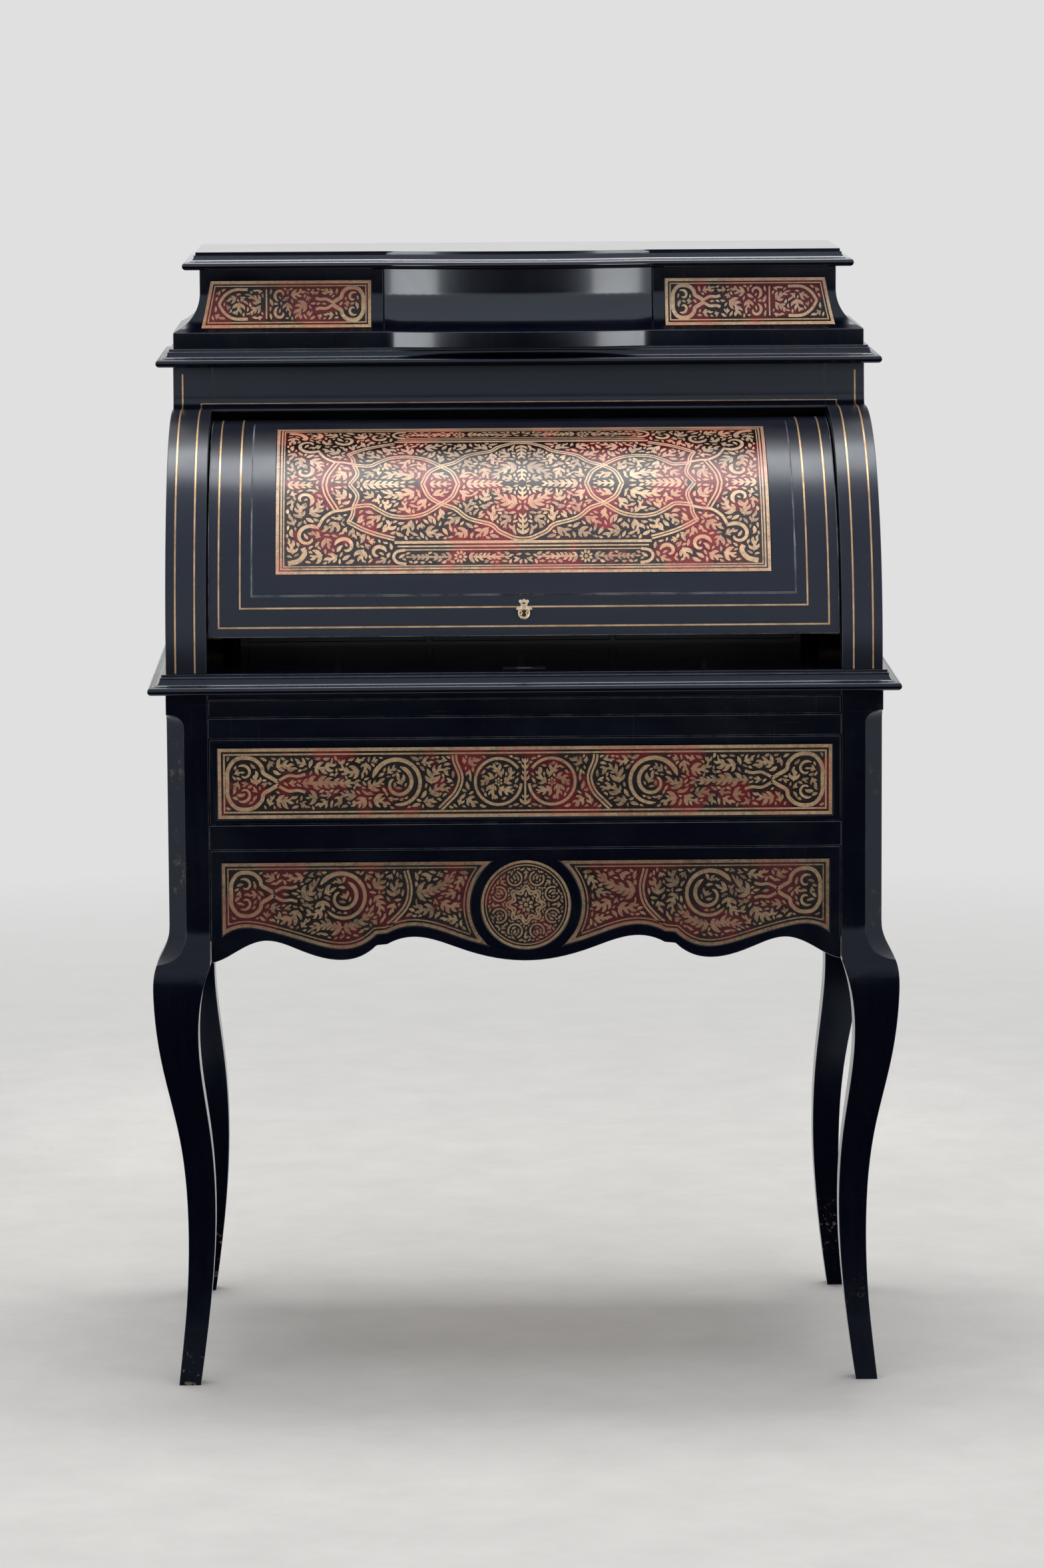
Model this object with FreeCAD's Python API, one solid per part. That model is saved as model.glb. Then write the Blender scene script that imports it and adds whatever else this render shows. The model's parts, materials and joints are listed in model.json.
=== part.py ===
"""An ebonised cylinder desk with brass marquetry, as an assembly of separate pieces.

Millimetres, +Z up, front towards -Y, origin on the floor under the middle of the desk board.
"""
import FreeCAD, Part
import math
import os

V = FreeCAD.Vector

# Desk board
writing_height = 750.0
board_thickness = 20.5
board_overhang = 18.0

# Edge moulding shared by the desk board and both cornices
nose_radius = 4.2
quirk = 2.2
edge_inset = 14.0
bead_height = 3.2

# Lower case: four corner posts that run down into cabriole legs
case_width = 740.0
case_depth = 486.0
post_size = 43.0
post_chamfer = 18.0
chamfer_top_gap = 34.0
chamfer_top_run = 12.0
chamfer_tip_height = 448.0

# Leg shape: height above the floor, outer face beyond the post's outer face, thickness
foot_outset = -4.2
foot_width = 22.8
shin_height = 73.0
shin_outset = -12.0
shin_width = 24.8
ankle_height = 170.0
ankle_outset = -15.5
ankle_width = 28.6
calf_height = 264.0
calf_outset = -7.6
calf_width = 32.8
knee_height = 342.0
knee_outset = 8.4
knee_width = 39.5
crest_height = 412.0
crest_outset = 16.2
crest_width = 49.2
shoulder_height = 447.0
shoulder_outset = 13.0
post_foot_height = 484.0

# Front of the lower case, downwards from the desk board
top_rail_height = 6.4
slide_opening = 19.3
slide_rail_height = 21.7
upper_drawer_opening = 89.7
drawer_rail_height = 25.9
lower_drawer_opening = 118.3

# Lower side panels and back
side_panel_thickness = 18.0
side_panel_inset = 5.0
side_panel_arch = 24.0
back_panel_thickness = 8.0
back_panel_inset = 10.0
back_panel_drop = 40.0

# Apron outline of the lower drawer, from the corner to the middle: share of its half width, rise
outer_foot_share = 0.956
outer_foot_rise = 4.9
outer_side_share = 0.907
outer_side_rise = 14.1
outer_arch_share = 0.834
outer_arch_rise = 22.8
outer_slope_share = 0.7
outer_slope_rise = 10.2
lobe_share = 0.582
lobe_rise = 2.1
cusp_share = 0.475
cusp_rise = 17.3
ledge_width = 11.0
ledge_rise = 1.0
inner_arch_share = 0.352
inner_arch_rise = 25.8
inner_slope_share = 0.19
inner_slope_rise = 11.0

# Drawers in the lower case
drawer_gap = 0.7
drawer_front_thickness = 20.0
front_setback = 1.0
drawer_wall = 11.0
drawer_floor = 6.0
drawer_back_room = 24.0
lower_box_lift = 29.0
box_headroom = 13.5
runner_thickness = 12.0
runner_under = 16.0

# Marquetry sheets let into the fronts
veneer = 1.0
upper_sheet_side = 9.0
upper_sheet_top = 9.0
upper_sheet_bottom = 6.0
lower_sheet_side = 12.0
lower_sheet_top = 13.0
lower_sheet_bottom = 12.0
sheet_corner_rise = 16.9
sheet_shoulder_share = 0.88
sheet_shoulder_rise = 25.2
medallion_radius = 46.6
medallion_ring = 11.4
medallion_drop = 59.5

# Writing slide under the desk board
slide_depth = 400.0
slide_gap = 0.5
leather_thickness = 1.2
leather_margin = 36.0
leather_back_margin = 64.0

# Cylinder case
upper_side_inset = 0.5
upper_back_overhang = 7.0
upper_height = 298.0
upper_side_thickness = 18.0
pilaster_width = 42.0
pilaster_depth = 26.0
pilaster_radius = 242.0
pilaster_setback = 2.3
axis_lift = 12.0
frieze_setback = 33.2
frieze_cove = 10.0
frieze_lip_reach = 20.5
frieze_lip = 4.0

# Curved lid, turning about the cylinder's axis
lid_recess = 12.0
lid_thickness = 14.0
lid_side_gap = 1.5
lid_board_gap = 1.0
lid_span_angle = 98.9
lid_raised_angle = 8.6
panel_rise = 2.5
panel_side = 45.0
panel_bottom = 42.7
panel_top = 301.0
sheet_side = 70.0
sheet_bottom = 65.0
sheet_top = 278.5

# Lid arms and their pivots
arm_thickness = 12.0
arm_inset = 8.0
arm_rim = 15.0
arm_rim_gap = 0.3
arm_spoke = 20.0
arm_low_angle = 22.0
arm_high_angle = 82.0
hub_radius = 10.5
pivot_radius = 4.0
pivot_clearance = 0.06
plate_thickness = 4.0
plate_width = 32.0
plate_height = 44.0
screw_radius = 1.6
screw_clearance = 0.1
screw_length = 12.0
screw_margin = 8.0

# Lock in the lid, its key and the strike plate in the desk board
key_rise = 26.0
lock_width = 56.0
lock_height = 42.0
lock_below_key = 23.0
lock_depth = 11.2
lock_wall = 1.5
lock_seat_gap = 0.3
bolt_width = 12.0
bolt_thickness = 5.0
bolt_length = 15.0
bolt_throw = 8.0
bolt_clearance = 0.4
shank_radius = 1.5
shank_clearance = 0.5
shank_reach = 16.0
bow_width = 18.0
bow_height = 10.0
bow_thickness = 3.0
bow_eye_height = 5.0
bit_reach = 5.5
bit_thickness = 2.0
bit_length = 5.0
escutcheon_width = 11.0
escutcheon_height = 20.0
escutcheon_shoulder_width = 6.6
escutcheon_shoulder_height = 11.0
escutcheon_thickness = 1.2
strike_width = 44.0
strike_depth = 20.0
strike_thickness = 1.5
mortise_room = 2.0
mortise_depth = 12.0

# Nest of pigeonholes and small drawers on the desk board
nest_side_gap = 6.0
nest_setback = 8.7
nest_corner_gap = 10.8
nest_height = 148.0
nest_board = 8.0
nest_divider = 6.0
nest_floor = 4.0
nest_shelf_height = 50.0
pigeonholes = 5
nest_drawers = 3
nest_drawer_gap = 0.6
nest_drawer_wall = 5.0
nest_drawer_floor = 3.0
nest_drawer_front = 8.0
nest_drawer_setback = 2.0
knob_radius = 5.0
knob_foot_radius = 4.0
knob_neck = 2.2
knob_neck_out = 2.5
knob_length = 10.0

# Cornice over the cylinder case
mid_cornice_height = 19.0
mid_overhang = 18.0

# Top tier of three drawers with hollowed fronts
plinth_side_inset = 0.5
plinth_reach = 0.5
tier_height = 83.0
plinth_height = 17.0
cove_height = 41.0
cove_radius = 44.0
centre_width = 288.0
centre_bow = 20.0
tier_front_thickness = 15.0
tier_gap = 0.3
tier_side_thickness = 14.0
partition_thickness = 10.0
tier_drawer_wall = 8.0
tier_drawer_floor = 4.0
tier_box_headroom = 8.0
tier_drawer_side_gap = 0.7
tier_sheet_inner = 13.5
tier_sheet_outer = 12.0
tier_sheet_flare = 10.0
tier_sheet_bottom = 4.0
tier_sheet_top = 12.4
top_cornice_height = 18.6
top_overhang = 18.0

# Levels and planes that follow from the sizes above
case_half = case_width / 2
case_front = -case_depth / 2
post_inner = case_half - post_size
post_back = case_front + post_size
board_low = writing_height - board_thickness
slide_top = board_low - top_rail_height
slide_low = slide_top - slide_opening
upper_top = slide_low - slide_rail_height
upper_low = upper_top - upper_drawer_opening
lower_top = upper_low - drawer_rail_height
apron_low = lower_top - lower_drawer_opening
panel_outer = case_half - side_panel_inset
panel_inner = panel_outer - side_panel_thickness
front_face = case_front + front_setback
front_back = front_face + drawer_front_thickness
back_panel_face = -case_front - back_panel_inset - back_panel_thickness
drawer_half = post_inner - drawer_gap
drawer_end = back_panel_face - drawer_back_room
axis_y = case_front + pilaster_setback + pilaster_radius
axis_z = writing_height + axis_lift
axis_point = V(0, axis_y, axis_z)
shelf_level = axis_z + pilaster_radius
upper_top_level = writing_height + upper_height
upper_back = -case_front + upper_back_overhang
upper_half = case_half - upper_side_inset
upper_inner = upper_half - upper_side_thickness
pilaster_inner = upper_half - pilaster_width
frieze_front = axis_y + frieze_setback
lid_radius = pilaster_radius - lid_recess
lid_half = pilaster_inner - lid_side_gap
lid_inner = lid_radius - lid_thickness
closed_angle = -math.degrees(math.asin((axis_lift - lid_board_gap) / lid_radius))
lid_low = closed_angle + lid_raised_angle
key_angle = lid_low + math.degrees(key_rise / lid_radius)
arm_inner = lid_half - arm_inset - arm_thickness
nest_half = arm_inner - nest_side_gap
nest_front = axis_y + nest_setback
nest_back = axis_y + math.sqrt((lid_inner - nest_corner_gap) ** 2 - (nest_height - axis_lift) ** 2)
tier_low = upper_top_level + mid_cornice_height
plinth_top = tier_low + plinth_height
tier_top = tier_low + tier_height
cove_depth = cove_radius - math.sqrt(cove_radius ** 2 - cove_height ** 2)
plinth_half = upper_half - plinth_side_inset
plinth_front = frieze_front - plinth_reach
tier_half = plinth_half - cove_depth
tier_front = plinth_front + cove_depth
centre_half = centre_width / 2
tier_body = tier_front + tier_front_thickness

pieces = {}


def block(x0, x1, y0, y1, z0, z1):
    """A board between two corners."""
    return Part.makeBox(x1 - x0, y1 - y0, z1 - z0, V(x0, y0, z0))


def line(a, b):
    return Part.LineSegment(a, b).toShape()


def arc(a, b, c):
    """An arc from a to c through b."""
    return Part.Arc(a, b, c).toShape()


def spline(points):
    curve = Part.BSplineCurve()
    curve.interpolate(points)
    return curve.toShape()


def spline_to_upright(points):
    """A curve through points that ends running straight up."""
    curve = Part.BSplineCurve()
    curve.interpolate(Points=points, InitialTangent=points[1] - points[0], FinalTangent=V(0, 0, 1))
    return curve.toShape()


def slab(edges, along):
    """The closed outline of edges, extruded along a vector."""
    return Part.Face(Part.Wire(edges)).extrude(along)


def polygon(points, along):
    return Part.Face(Part.makePolygon(points + points[:1])).extrude(along)


def mirrored(shape):
    """The other side's copy of a left or right piece."""
    return shape.mirror(V(0, 0, 0), V(1, 0, 0))


def group(shapes):
    return Part.makeCompound(shapes)


def at_lid(shape, angle):
    """Turns a shape, drawn on the lid at the axis level in front, up round the cylinder."""
    return shape.copy().rotate(axis_point, V(-1, 0, 0), angle)


def sector(inner, outer, start, end, half):
    """A curved board about the cylinder's axis between two angles, across x from -half to half."""
    ring = Part.makeCylinder(outer, 2 * half, V(-half, axis_y, axis_z), V(1, 0, 0))
    ring = ring.cut(Part.makeCylinder(inner, 2 * half, V(-half, axis_y, axis_z), V(1, 0, 0)))
    reach = 3 * outer
    middle = (start + end) / 2
    spread = (end - start) / 2
    corner = V(-half, axis_y - reach * math.cos(math.radians(spread)),
               axis_z + reach * math.sin(math.radians(spread)))
    other = V(-half, corner.y, 2 * axis_z - corner.z)
    wedge = polygon([V(-half, axis_y, axis_z), corner, other], V(2 * half, 0, 0))
    return ring.common(at_lid(wedge, middle))


def moulding(height):
    """The edge moulding as (inset, height) points: nose, quirk, cove and bead."""
    nose_top = 2 * nose_radius
    cove_out = quirk
    cove_in = edge_inset - bead_height / 2
    cove_top = height - bead_height
    bend = math.sqrt(0.5)
    return {
        "foot": (nose_radius, 0.0),
        "nose": (0.0, nose_radius),
        "nose_top": (nose_radius, nose_top),
        "cove_foot": (nose_radius + cove_out, nose_top),
        "cove_middle": (
            nose_radius + cove_out + bend * (cove_in - nose_radius - cove_out),
            cove_top - bend * (cove_top - nose_top),
        ),
        "cove_top": (cove_in, cove_top),
        "bead_foot": (edge_inset, cove_top),
        "bead_top": (edge_inset, height),
    }


def moulded_edges(height, place):
    """The moulding's edges from its foot to its top, with place giving a point for (inset, height)."""
    p = {name: place(*point) for name, point in moulding(height).items()}
    return [
        arc(p["foot"], p["nose"], p["nose_top"]),
        line(p["nose_top"], p["cove_foot"]),
        arc(p["cove_foot"], p["cove_middle"], p["cove_top"]),
        line(p["cove_top"], p["bead_foot"]),
        line(p["bead_foot"], p["bead_top"]),
    ]


def moulded_board(half, front, back, low, height):
    """A board with the moulding along its front and both ends, mitred at the corners."""
    def across(inset, z):
        return V(-half, front + inset, low + z)

    def right(inset, z):
        return V(half - inset, front, low + z)

    def left(inset, z):
        return V(-half + inset, front, low + z)

    front_edges = moulded_edges(height, across)
    back_foot = V(-half, back, low)
    back_top = V(-half, back, low + height)
    front_edges.append(line(across(edge_inset, height), back_top))
    front_edges.append(line(back_top, back_foot))
    front_edges.append(line(back_foot, across(nose_radius, 0)))
    lengthwise = slab(front_edges, V(2 * half, 0, 0))
    end_edges = moulded_edges(height, right)
    end_edges.append(line(right(edge_inset, height), left(edge_inset, height)))
    end_edges.extend(moulded_edges(height, left))
    end_edges.append(line(left(nose_radius, 0), right(nose_radius, 0)))
    ends = slab(Part.sortEdges(end_edges)[0], V(0, back - front, 0))
    return lengthwise.common(ends)


def bowed(face, front):
    """A face in the middle plane swept round the bow of the top tier's centre; front is its straight line."""
    bow_radius = (centre_half ** 2 + centre_bow ** 2) / (2 * centre_bow)
    pivot = V(0, front - centre_bow + bow_radius, 0)
    sweep = 2 * math.degrees(math.asin(centre_half / bow_radius))
    start = face.copy().rotate(pivot, V(0, 0, 1), -sweep)
    return start.revolve(pivot, V(0, 0, 1), 2 * sweep)


def leg_profile(corner, place):
    """The leg's outline in one view, as edges, for a post whose outer face is at corner from the middle."""
    stations = [
        (0.0, foot_outset, foot_width),
        (shin_height, shin_outset, shin_width),
        (ankle_height, ankle_outset, ankle_width),
        (calf_height, calf_outset, calf_width),
        (knee_height, knee_outset, knee_width),
        (crest_height, crest_outset, crest_width),
    ]
    inner_post = corner - post_size
    outer = [place(corner + out, z) for z, out, width in stations]
    outer.append(place(corner + shoulder_outset, shoulder_height))
    outer.append(place(corner, post_foot_height))
    inner = [place(corner + out - width, z) for z, out, width in stations]
    inner.append(place(inner_post, shoulder_height))
    outer_top = place(corner, board_low)
    inner_top = place(inner_post, board_low)
    return [
        spline_to_upright(outer),
        line(outer[-1], outer_top),
        line(outer_top, inner_top),
        line(inner_top, inner[-1]),
        spline(inner),
        line(inner[0], outer[0]),
    ]


def chamfer_cutter():
    """What is cut from the front right post's outer corner: a stopped chamfer that runs out over the knee."""
    depth = post_chamfer / math.sqrt(2)
    out = math.sqrt(0.5)
    run_out = crest_outset * math.sqrt(2)
    sweep = depth + run_out
    turn = sweep * math.sqrt(0.5)
    foot_height = chamfer_tip_height + sweep
    top = board_low - chamfer_top_gap
    clear = 2 * run_out
    span = 2 * post_size

    def place(d, z):
        return V(case_half - d * out, case_front + d * out, z)

    tip = place(-run_out, chamfer_tip_height)
    bend = place(turn - run_out, foot_height - turn)
    foot = place(depth, foot_height)
    head = place(depth, top)
    stop_radius = (depth ** 2 + chamfer_top_run ** 2) / (2 * depth)
    half_turn = math.acos((stop_radius - depth) / stop_radius) / 2
    shoulder = place(depth - stop_radius + stop_radius * math.cos(half_turn),
                     top + stop_radius * math.sin(half_turn))
    end = place(0, top + chamfer_top_run)
    far_end = place(-clear, top + chamfer_top_run)
    far_tip = place(-clear, chamfer_tip_height)
    edges = [
        arc(tip, bend, foot),
        line(foot, head),
        arc(head, shoulder, end),
        line(end, far_end),
        line(far_end, far_tip),
        line(far_tip, tip),
    ]
    sideways = V(out, out, 0)
    blank = slab(edges, sideways * (2 * span))
    blank.translate(sideways * -span)
    return blank


def front_right_leg():
    """Post and cabriole leg of square section: the same outline seen from the front and from the side."""
    deep = case_depth
    seen_from_front = slab(leg_profile(case_half, lambda d, z: V(d, -deep, z)), V(0, 2 * deep, 0))
    seen_from_side = slab(leg_profile(-case_front, lambda d, z: V(0, -d, z)), V(case_width, 0, 0))
    return seen_from_front.common(seen_from_side).cut(chamfer_cutter())


def make_legs():
    right = front_right_leg()
    rear = right.mirror(V(0, 0, 0), V(0, 1, 0))
    pieces["front_right_leg"] = right
    pieces["front_left_leg"] = mirrored(right)
    pieces["rear_right_leg"] = rear
    pieces["rear_left_leg"] = mirrored(rear)


def make_lower_case():
    """Side panels with an arched lower edge, back panel, front rails, runners and bearers."""
    low = apron_low
    ends = (V(panel_inner, post_back, low), V(panel_inner, -post_back, low))
    middle = V(panel_inner, 0, low + side_panel_arch)
    top = (V(panel_inner, -post_back, board_low), V(panel_inner, post_back, board_low))
    edges = [
        arc(ends[0], middle, ends[1]),
        line(ends[1], top[0]),
        line(top[0], top[1]),
        line(top[1], ends[0]),
    ]
    right = slab(edges, V(side_panel_thickness, 0, 0))
    pieces["right_lower_side"] = right
    pieces["left_lower_side"] = mirrored(right)
    pieces["lower_back_panel"] = block(-post_inner, post_inner, back_panel_face,
                                       back_panel_face + back_panel_thickness,
                                       apron_low + back_panel_drop, board_low)
    pieces["top_rail"] = block(-post_inner, post_inner, case_front, post_back, slide_top, board_low)
    pieces["slide_rail"] = block(-post_inner, post_inner, case_front, post_back, upper_top, slide_low)
    pieces["drawer_rail"] = block(-post_inner, post_inner, case_front, post_back, lower_top, upper_low)

    def rail_pair(top_level):
        inner = post_inner - runner_under
        right_rail = block(inner, panel_inner, post_back, -post_back, top_level - runner_thickness, top_level)
        return [right_rail, mirrored(right_rail)]

    pieces["slide_bearers"] = group(rail_pair(slide_low))
    lower_runner_top = apron_low + lower_box_lift - drawer_gap
    pieces["drawer_runners"] = group(rail_pair(upper_low) + rail_pair(lower_runner_top))


def drawer_boards(x0, x1, front, back, low, height, wall, floor):
    """A drawer's sides, back and bottom as separate boards."""
    return group([
        block(x0, x0 + wall, front, back, low, low + height),
        block(x1 - wall, x1, front, back, low, low + height),
        block(x0 + wall, x1 - wall, back - wall, back, low, low + height),
        block(x0 + wall, x1 - wall, front, back - wall, low, low + floor),
    ])


def make_upper_drawer():
    low = upper_low + drawer_gap
    front = block(-drawer_half, drawer_half, front_face, front_back, low, upper_top - drawer_gap)
    sheet = block(-drawer_half + upper_sheet_side, drawer_half - upper_sheet_side,
                  front_face, front_face + veneer,
                  low + upper_sheet_bottom, upper_top - drawer_gap - upper_sheet_top)
    pieces["upper_drawer_front"] = front.cut(sheet)
    pieces["upper_drawer_marquetry"] = sheet
    pieces["upper_drawer_box"] = drawer_boards(-drawer_half, drawer_half, front_back, drawer_end,
                                               low, upper_top - box_headroom - low,
                                               drawer_wall, drawer_floor)


def apron_edges(lift, end, plane):
    """The shaped lower edge from the right end to the left end, raised by lift, in the plane y = plane.

    The points of its end, up to the outer arch, are given as x and rise.
    """
    def place(x, rise):
        return V(x, plane, apron_low + lift + rise)

    cusp_x = cusp_share * drawer_half
    outer = [place(x, rise) for x, rise in end] + [
        place(outer_arch_share * drawer_half, outer_arch_rise),
        place(outer_slope_share * drawer_half, outer_slope_rise),
        place(lobe_share * drawer_half, lobe_rise),
        place(cusp_x, cusp_rise),
    ]
    inner = [
        place(cusp_x - ledge_width, cusp_rise + ledge_rise),
        place(inner_arch_share * drawer_half, inner_arch_rise),
        place(inner_slope_share * drawer_half, inner_slope_rise),
        place(0.0, 0.0),
        place(-inner_slope_share * drawer_half, inner_slope_rise),
        place(-inner_arch_share * drawer_half, inner_arch_rise),
        place(ledge_width - cusp_x, cusp_rise + ledge_rise),
    ]
    other = [V(-p.x, p.y, p.z) for p in reversed(outer)]
    return [
        spline(outer),
        line(outer[-1], inner[0]),
        spline(inner),
        line(inner[-1], other[0]),
        spline(other),
    ]


def apron_board(lift, end, top, plane, thickness):
    """A board with the shaped lower edge and a straight top."""
    edges = apron_edges(lift, end, plane)
    half, rise = end[0]
    low = apron_low + lift + rise
    right_top = V(half, plane, top)
    left_top = V(-half, plane, top)
    edges.append(line(V(-half, plane, low), left_top))
    edges.append(line(left_top, right_top))
    edges.append(line(right_top, V(half, plane, low)))
    return slab(edges, V(0, thickness, 0))


def make_lower_drawer():
    """The lower drawer, whose front is the shaped apron, with two marquetry sheets and a medallion."""
    top = lower_top - drawer_gap
    foot = [(drawer_half, 0.0), (outer_foot_share * drawer_half, outer_foot_rise),
            (outer_side_share * drawer_half, outer_side_rise)]
    front = apron_board(0.0, foot, top, front_face, drawer_front_thickness)
    centre = V(0, front_face, lower_top - medallion_drop)
    ring = Part.makeCylinder(medallion_radius + medallion_ring, veneer, centre, V(0, 1, 0))
    medallion = Part.makeCylinder(medallion_radius, veneer, centre, V(0, 1, 0))
    corner = [(drawer_half - lower_sheet_side, sheet_corner_rise),
              (sheet_shoulder_share * drawer_half, sheet_shoulder_rise)]
    field = apron_board(lower_sheet_bottom, corner, top - lower_sheet_top, front_face, veneer)
    sheets = field.cut(ring)
    pieces["lower_drawer_front"] = front.cut(sheets).cut(medallion)
    pieces["lower_drawer_marquetry"] = group(sheets.Solids + [medallion])
    low = apron_low + lower_box_lift
    pieces["lower_drawer_box"] = drawer_boards(-drawer_half, drawer_half, front_back, drawer_end,
                                               low, lower_top - box_headroom - low,
                                               drawer_wall, drawer_floor)


def make_writing_slide():
    top = slide_top - slide_gap
    back = front_face + slide_depth
    board = block(-drawer_half, drawer_half, front_face, back, slide_low + slide_gap, top)
    leather = block(-drawer_half + leather_margin, drawer_half - leather_margin,
                    front_face + leather_margin, back - leather_back_margin,
                    top - leather_thickness, top)
    pieces["slide_board"] = board.cut(leather)
    pieces["slide_leather"] = leather


def strike_centre():
    """Where the thrown bolt meets the desk board with the lid shut, as its y."""
    shut = math.radians(key_angle - lid_raised_angle)
    bolt_middle = lock_plane() - lock_depth + lock_wall + bolt_clearance + bolt_thickness / 2
    return axis_y - bolt_middle * math.cos(shut) - (lock_below_key + bolt_throw / 2) * math.sin(shut)


def make_desk_board():
    board = moulded_board(case_half + board_overhang, case_front - board_overhang,
                          -case_front + board_overhang, board_low, board_thickness)
    y = strike_centre()
    plate = block(-strike_width / 2, strike_width / 2, y - strike_depth / 2, y + strike_depth / 2,
                  writing_height - strike_thickness, writing_height)
    mouth_half = bolt_width / 2 + mortise_room
    mouth_deep = bolt_thickness / 2 + mortise_room
    mortise = block(-mouth_half, mouth_half, y - mouth_deep, y + mouth_deep,
                    writing_height - mortise_depth, writing_height)
    pieces["desk_top"] = board.cut(plate).cut(mortise)
    pieces["strike_plate"] = plate.cut(mortise)


def case_curve(x):
    """The cylinder case's front line at one x, from the desk board up to the cornice."""
    def place(y, z):
        return V(x, y, z)

    front = axis_y - pilaster_radius
    turn = pilaster_radius * math.sqrt(0.5)
    cove_turn = frieze_cove * math.sqrt(0.5)
    cove_foot = place(frieze_front - frieze_cove, shelf_level)
    cove_top = place(frieze_front, shelf_level + frieze_cove)
    cove_middle = place(frieze_front - frieze_cove + cove_turn, shelf_level + frieze_cove - cove_turn)
    foot = place(front, writing_height)
    spring = place(front, axis_z)
    crown = place(axis_y, shelf_level)
    return [
        line(foot, spring),
        arc(spring, place(axis_y - turn, axis_z + turn), crown),
        line(crown, cove_foot),
        arc(cove_foot, cove_middle, cove_top),
        line(cove_top, place(frieze_front, upper_top_level)),
    ]


def facing_seam(x):
    """The back line of the curved facing at one x, from the cornice down to the desk board."""
    radius = pilaster_radius - pilaster_depth
    turn = radius * math.sqrt(0.5)
    back = frieze_front + pilaster_depth
    head = V(x, back, upper_top_level)
    corner = V(x, back, axis_z + radius)
    crown = V(x, axis_y, axis_z + radius)
    spring = V(x, axis_y - radius, axis_z)
    foot = V(x, axis_y - radius, writing_height)
    return [
        line(head, corner),
        line(corner, crown),
        arc(crown, V(x, axis_y - turn, axis_z + turn), spring),
        line(spring, foot),
    ]


def make_pivots():
    """Plate with its riveted pin on the right, and the screw holes that it shares with the side board."""
    plate_x = upper_inner - plate_thickness
    low = writing_height + pivot_clearance
    plate = block(plate_x, upper_inner, axis_y - plate_width / 2, axis_y + plate_width / 2,
                  low, low + plate_height)
    pin = Part.makeCylinder(pivot_radius, plate_x - arm_inner, V(arm_inner, axis_y, axis_z), V(1, 0, 0))
    screws = []
    holes = []
    for side in (-1, 1):
        y = axis_y + side * (plate_width / 2 - screw_margin)
        start = V(plate_x, y, low + plate_height - screw_margin)
        screws.append(Part.makeCylinder(screw_radius, screw_length, start, V(1, 0, 0)))
        holes.append(Part.makeCylinder(screw_radius + screw_clearance, screw_length, start, V(1, 0, 0)))
    return plate.fuse(pin).cut(group(holes)), screws, group(holes)


def make_cylinder_case():
    plate, screws, holes = make_pivots()
    back_top = V(upper_inner, upper_back, upper_top_level)
    back_foot = V(upper_inner, upper_back, writing_height)
    seam = facing_seam(upper_inner)
    side_edges = [
        line(seam[-1].Vertexes[-1].Point, back_foot),
        line(back_foot, back_top),
        line(back_top, seam[0].Vertexes[0].Point),
    ]
    side = slab(seam + side_edges, V(upper_side_thickness, 0, 0)).cut(holes)
    pieces["right_upper_side"] = side
    pieces["left_upper_side"] = mirrored(side)
    pieces["pivot_plates"] = group([plate, mirrored(plate)])
    pieces["pivot_screws"] = group(screws + [mirrored(s) for s in screws])

    face = case_curve(pilaster_inner)
    seam = facing_seam(pilaster_inner)
    ends = [
        line(face[-1].Vertexes[-1].Point, seam[0].Vertexes[0].Point),
        line(seam[-1].Vertexes[-1].Point, face[0].Vertexes[0].Point),
    ]
    pilaster = slab(Part.sortEdges(face + seam + ends)[0], V(pilaster_width, 0, 0))
    pieces["right_pilaster"] = pilaster
    pieces["left_pilaster"] = mirrored(pilaster)

    lip_low = shelf_level - frieze_lip
    lip_front = frieze_front - frieze_lip_reach
    cove_lip, cove, frieze = case_curve(-pilaster_inner)[2:]
    lip_top = V(-pilaster_inner, lip_front, shelf_level)
    lip_foot = V(-pilaster_inner, lip_front, lip_low)
    lip_nose = V(-pilaster_inner, lip_front - frieze_lip / 2, shelf_level - frieze_lip / 2)
    rail_back = frieze_front + pilaster_depth
    back_low = V(-pilaster_inner, rail_back, lip_low)
    back_high = V(-pilaster_inner, rail_back, upper_top_level)
    edges = [
        arc(lip_foot, lip_nose, lip_top),
        line(lip_top, cove_lip.Vertexes[-1].Point),
        cove,
        frieze,
        line(frieze.Vertexes[-1].Point, back_high),
        line(back_high, back_low),
        line(back_low, lip_foot),
    ]
    pieces["frieze_rail"] = slab(edges, V(2 * pilaster_inner, 0, 0))
    pieces["upper_back_panel"] = block(-upper_inner, upper_inner,
                                       upper_back - back_panel_thickness, upper_back,
                                       writing_height, upper_top_level)
    pieces["mid_cornice"] = moulded_board(upper_half + mid_overhang, frieze_front - mid_overhang,
                                          upper_back, upper_top_level, mid_cornice_height)


def lid_angle(arc_length):
    """The angle at a distance up the lid's outer face from its lower edge."""
    return lid_low + math.degrees(arc_length / lid_radius)


def lock_plane():
    """Distance from the axis of the flat face of the lock case, seated inside the lid's hollow."""
    half = max(lock_below_key, lock_height - lock_below_key)
    return math.sqrt((lid_inner - lock_seat_gap) ** 2 - half ** 2)


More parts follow.
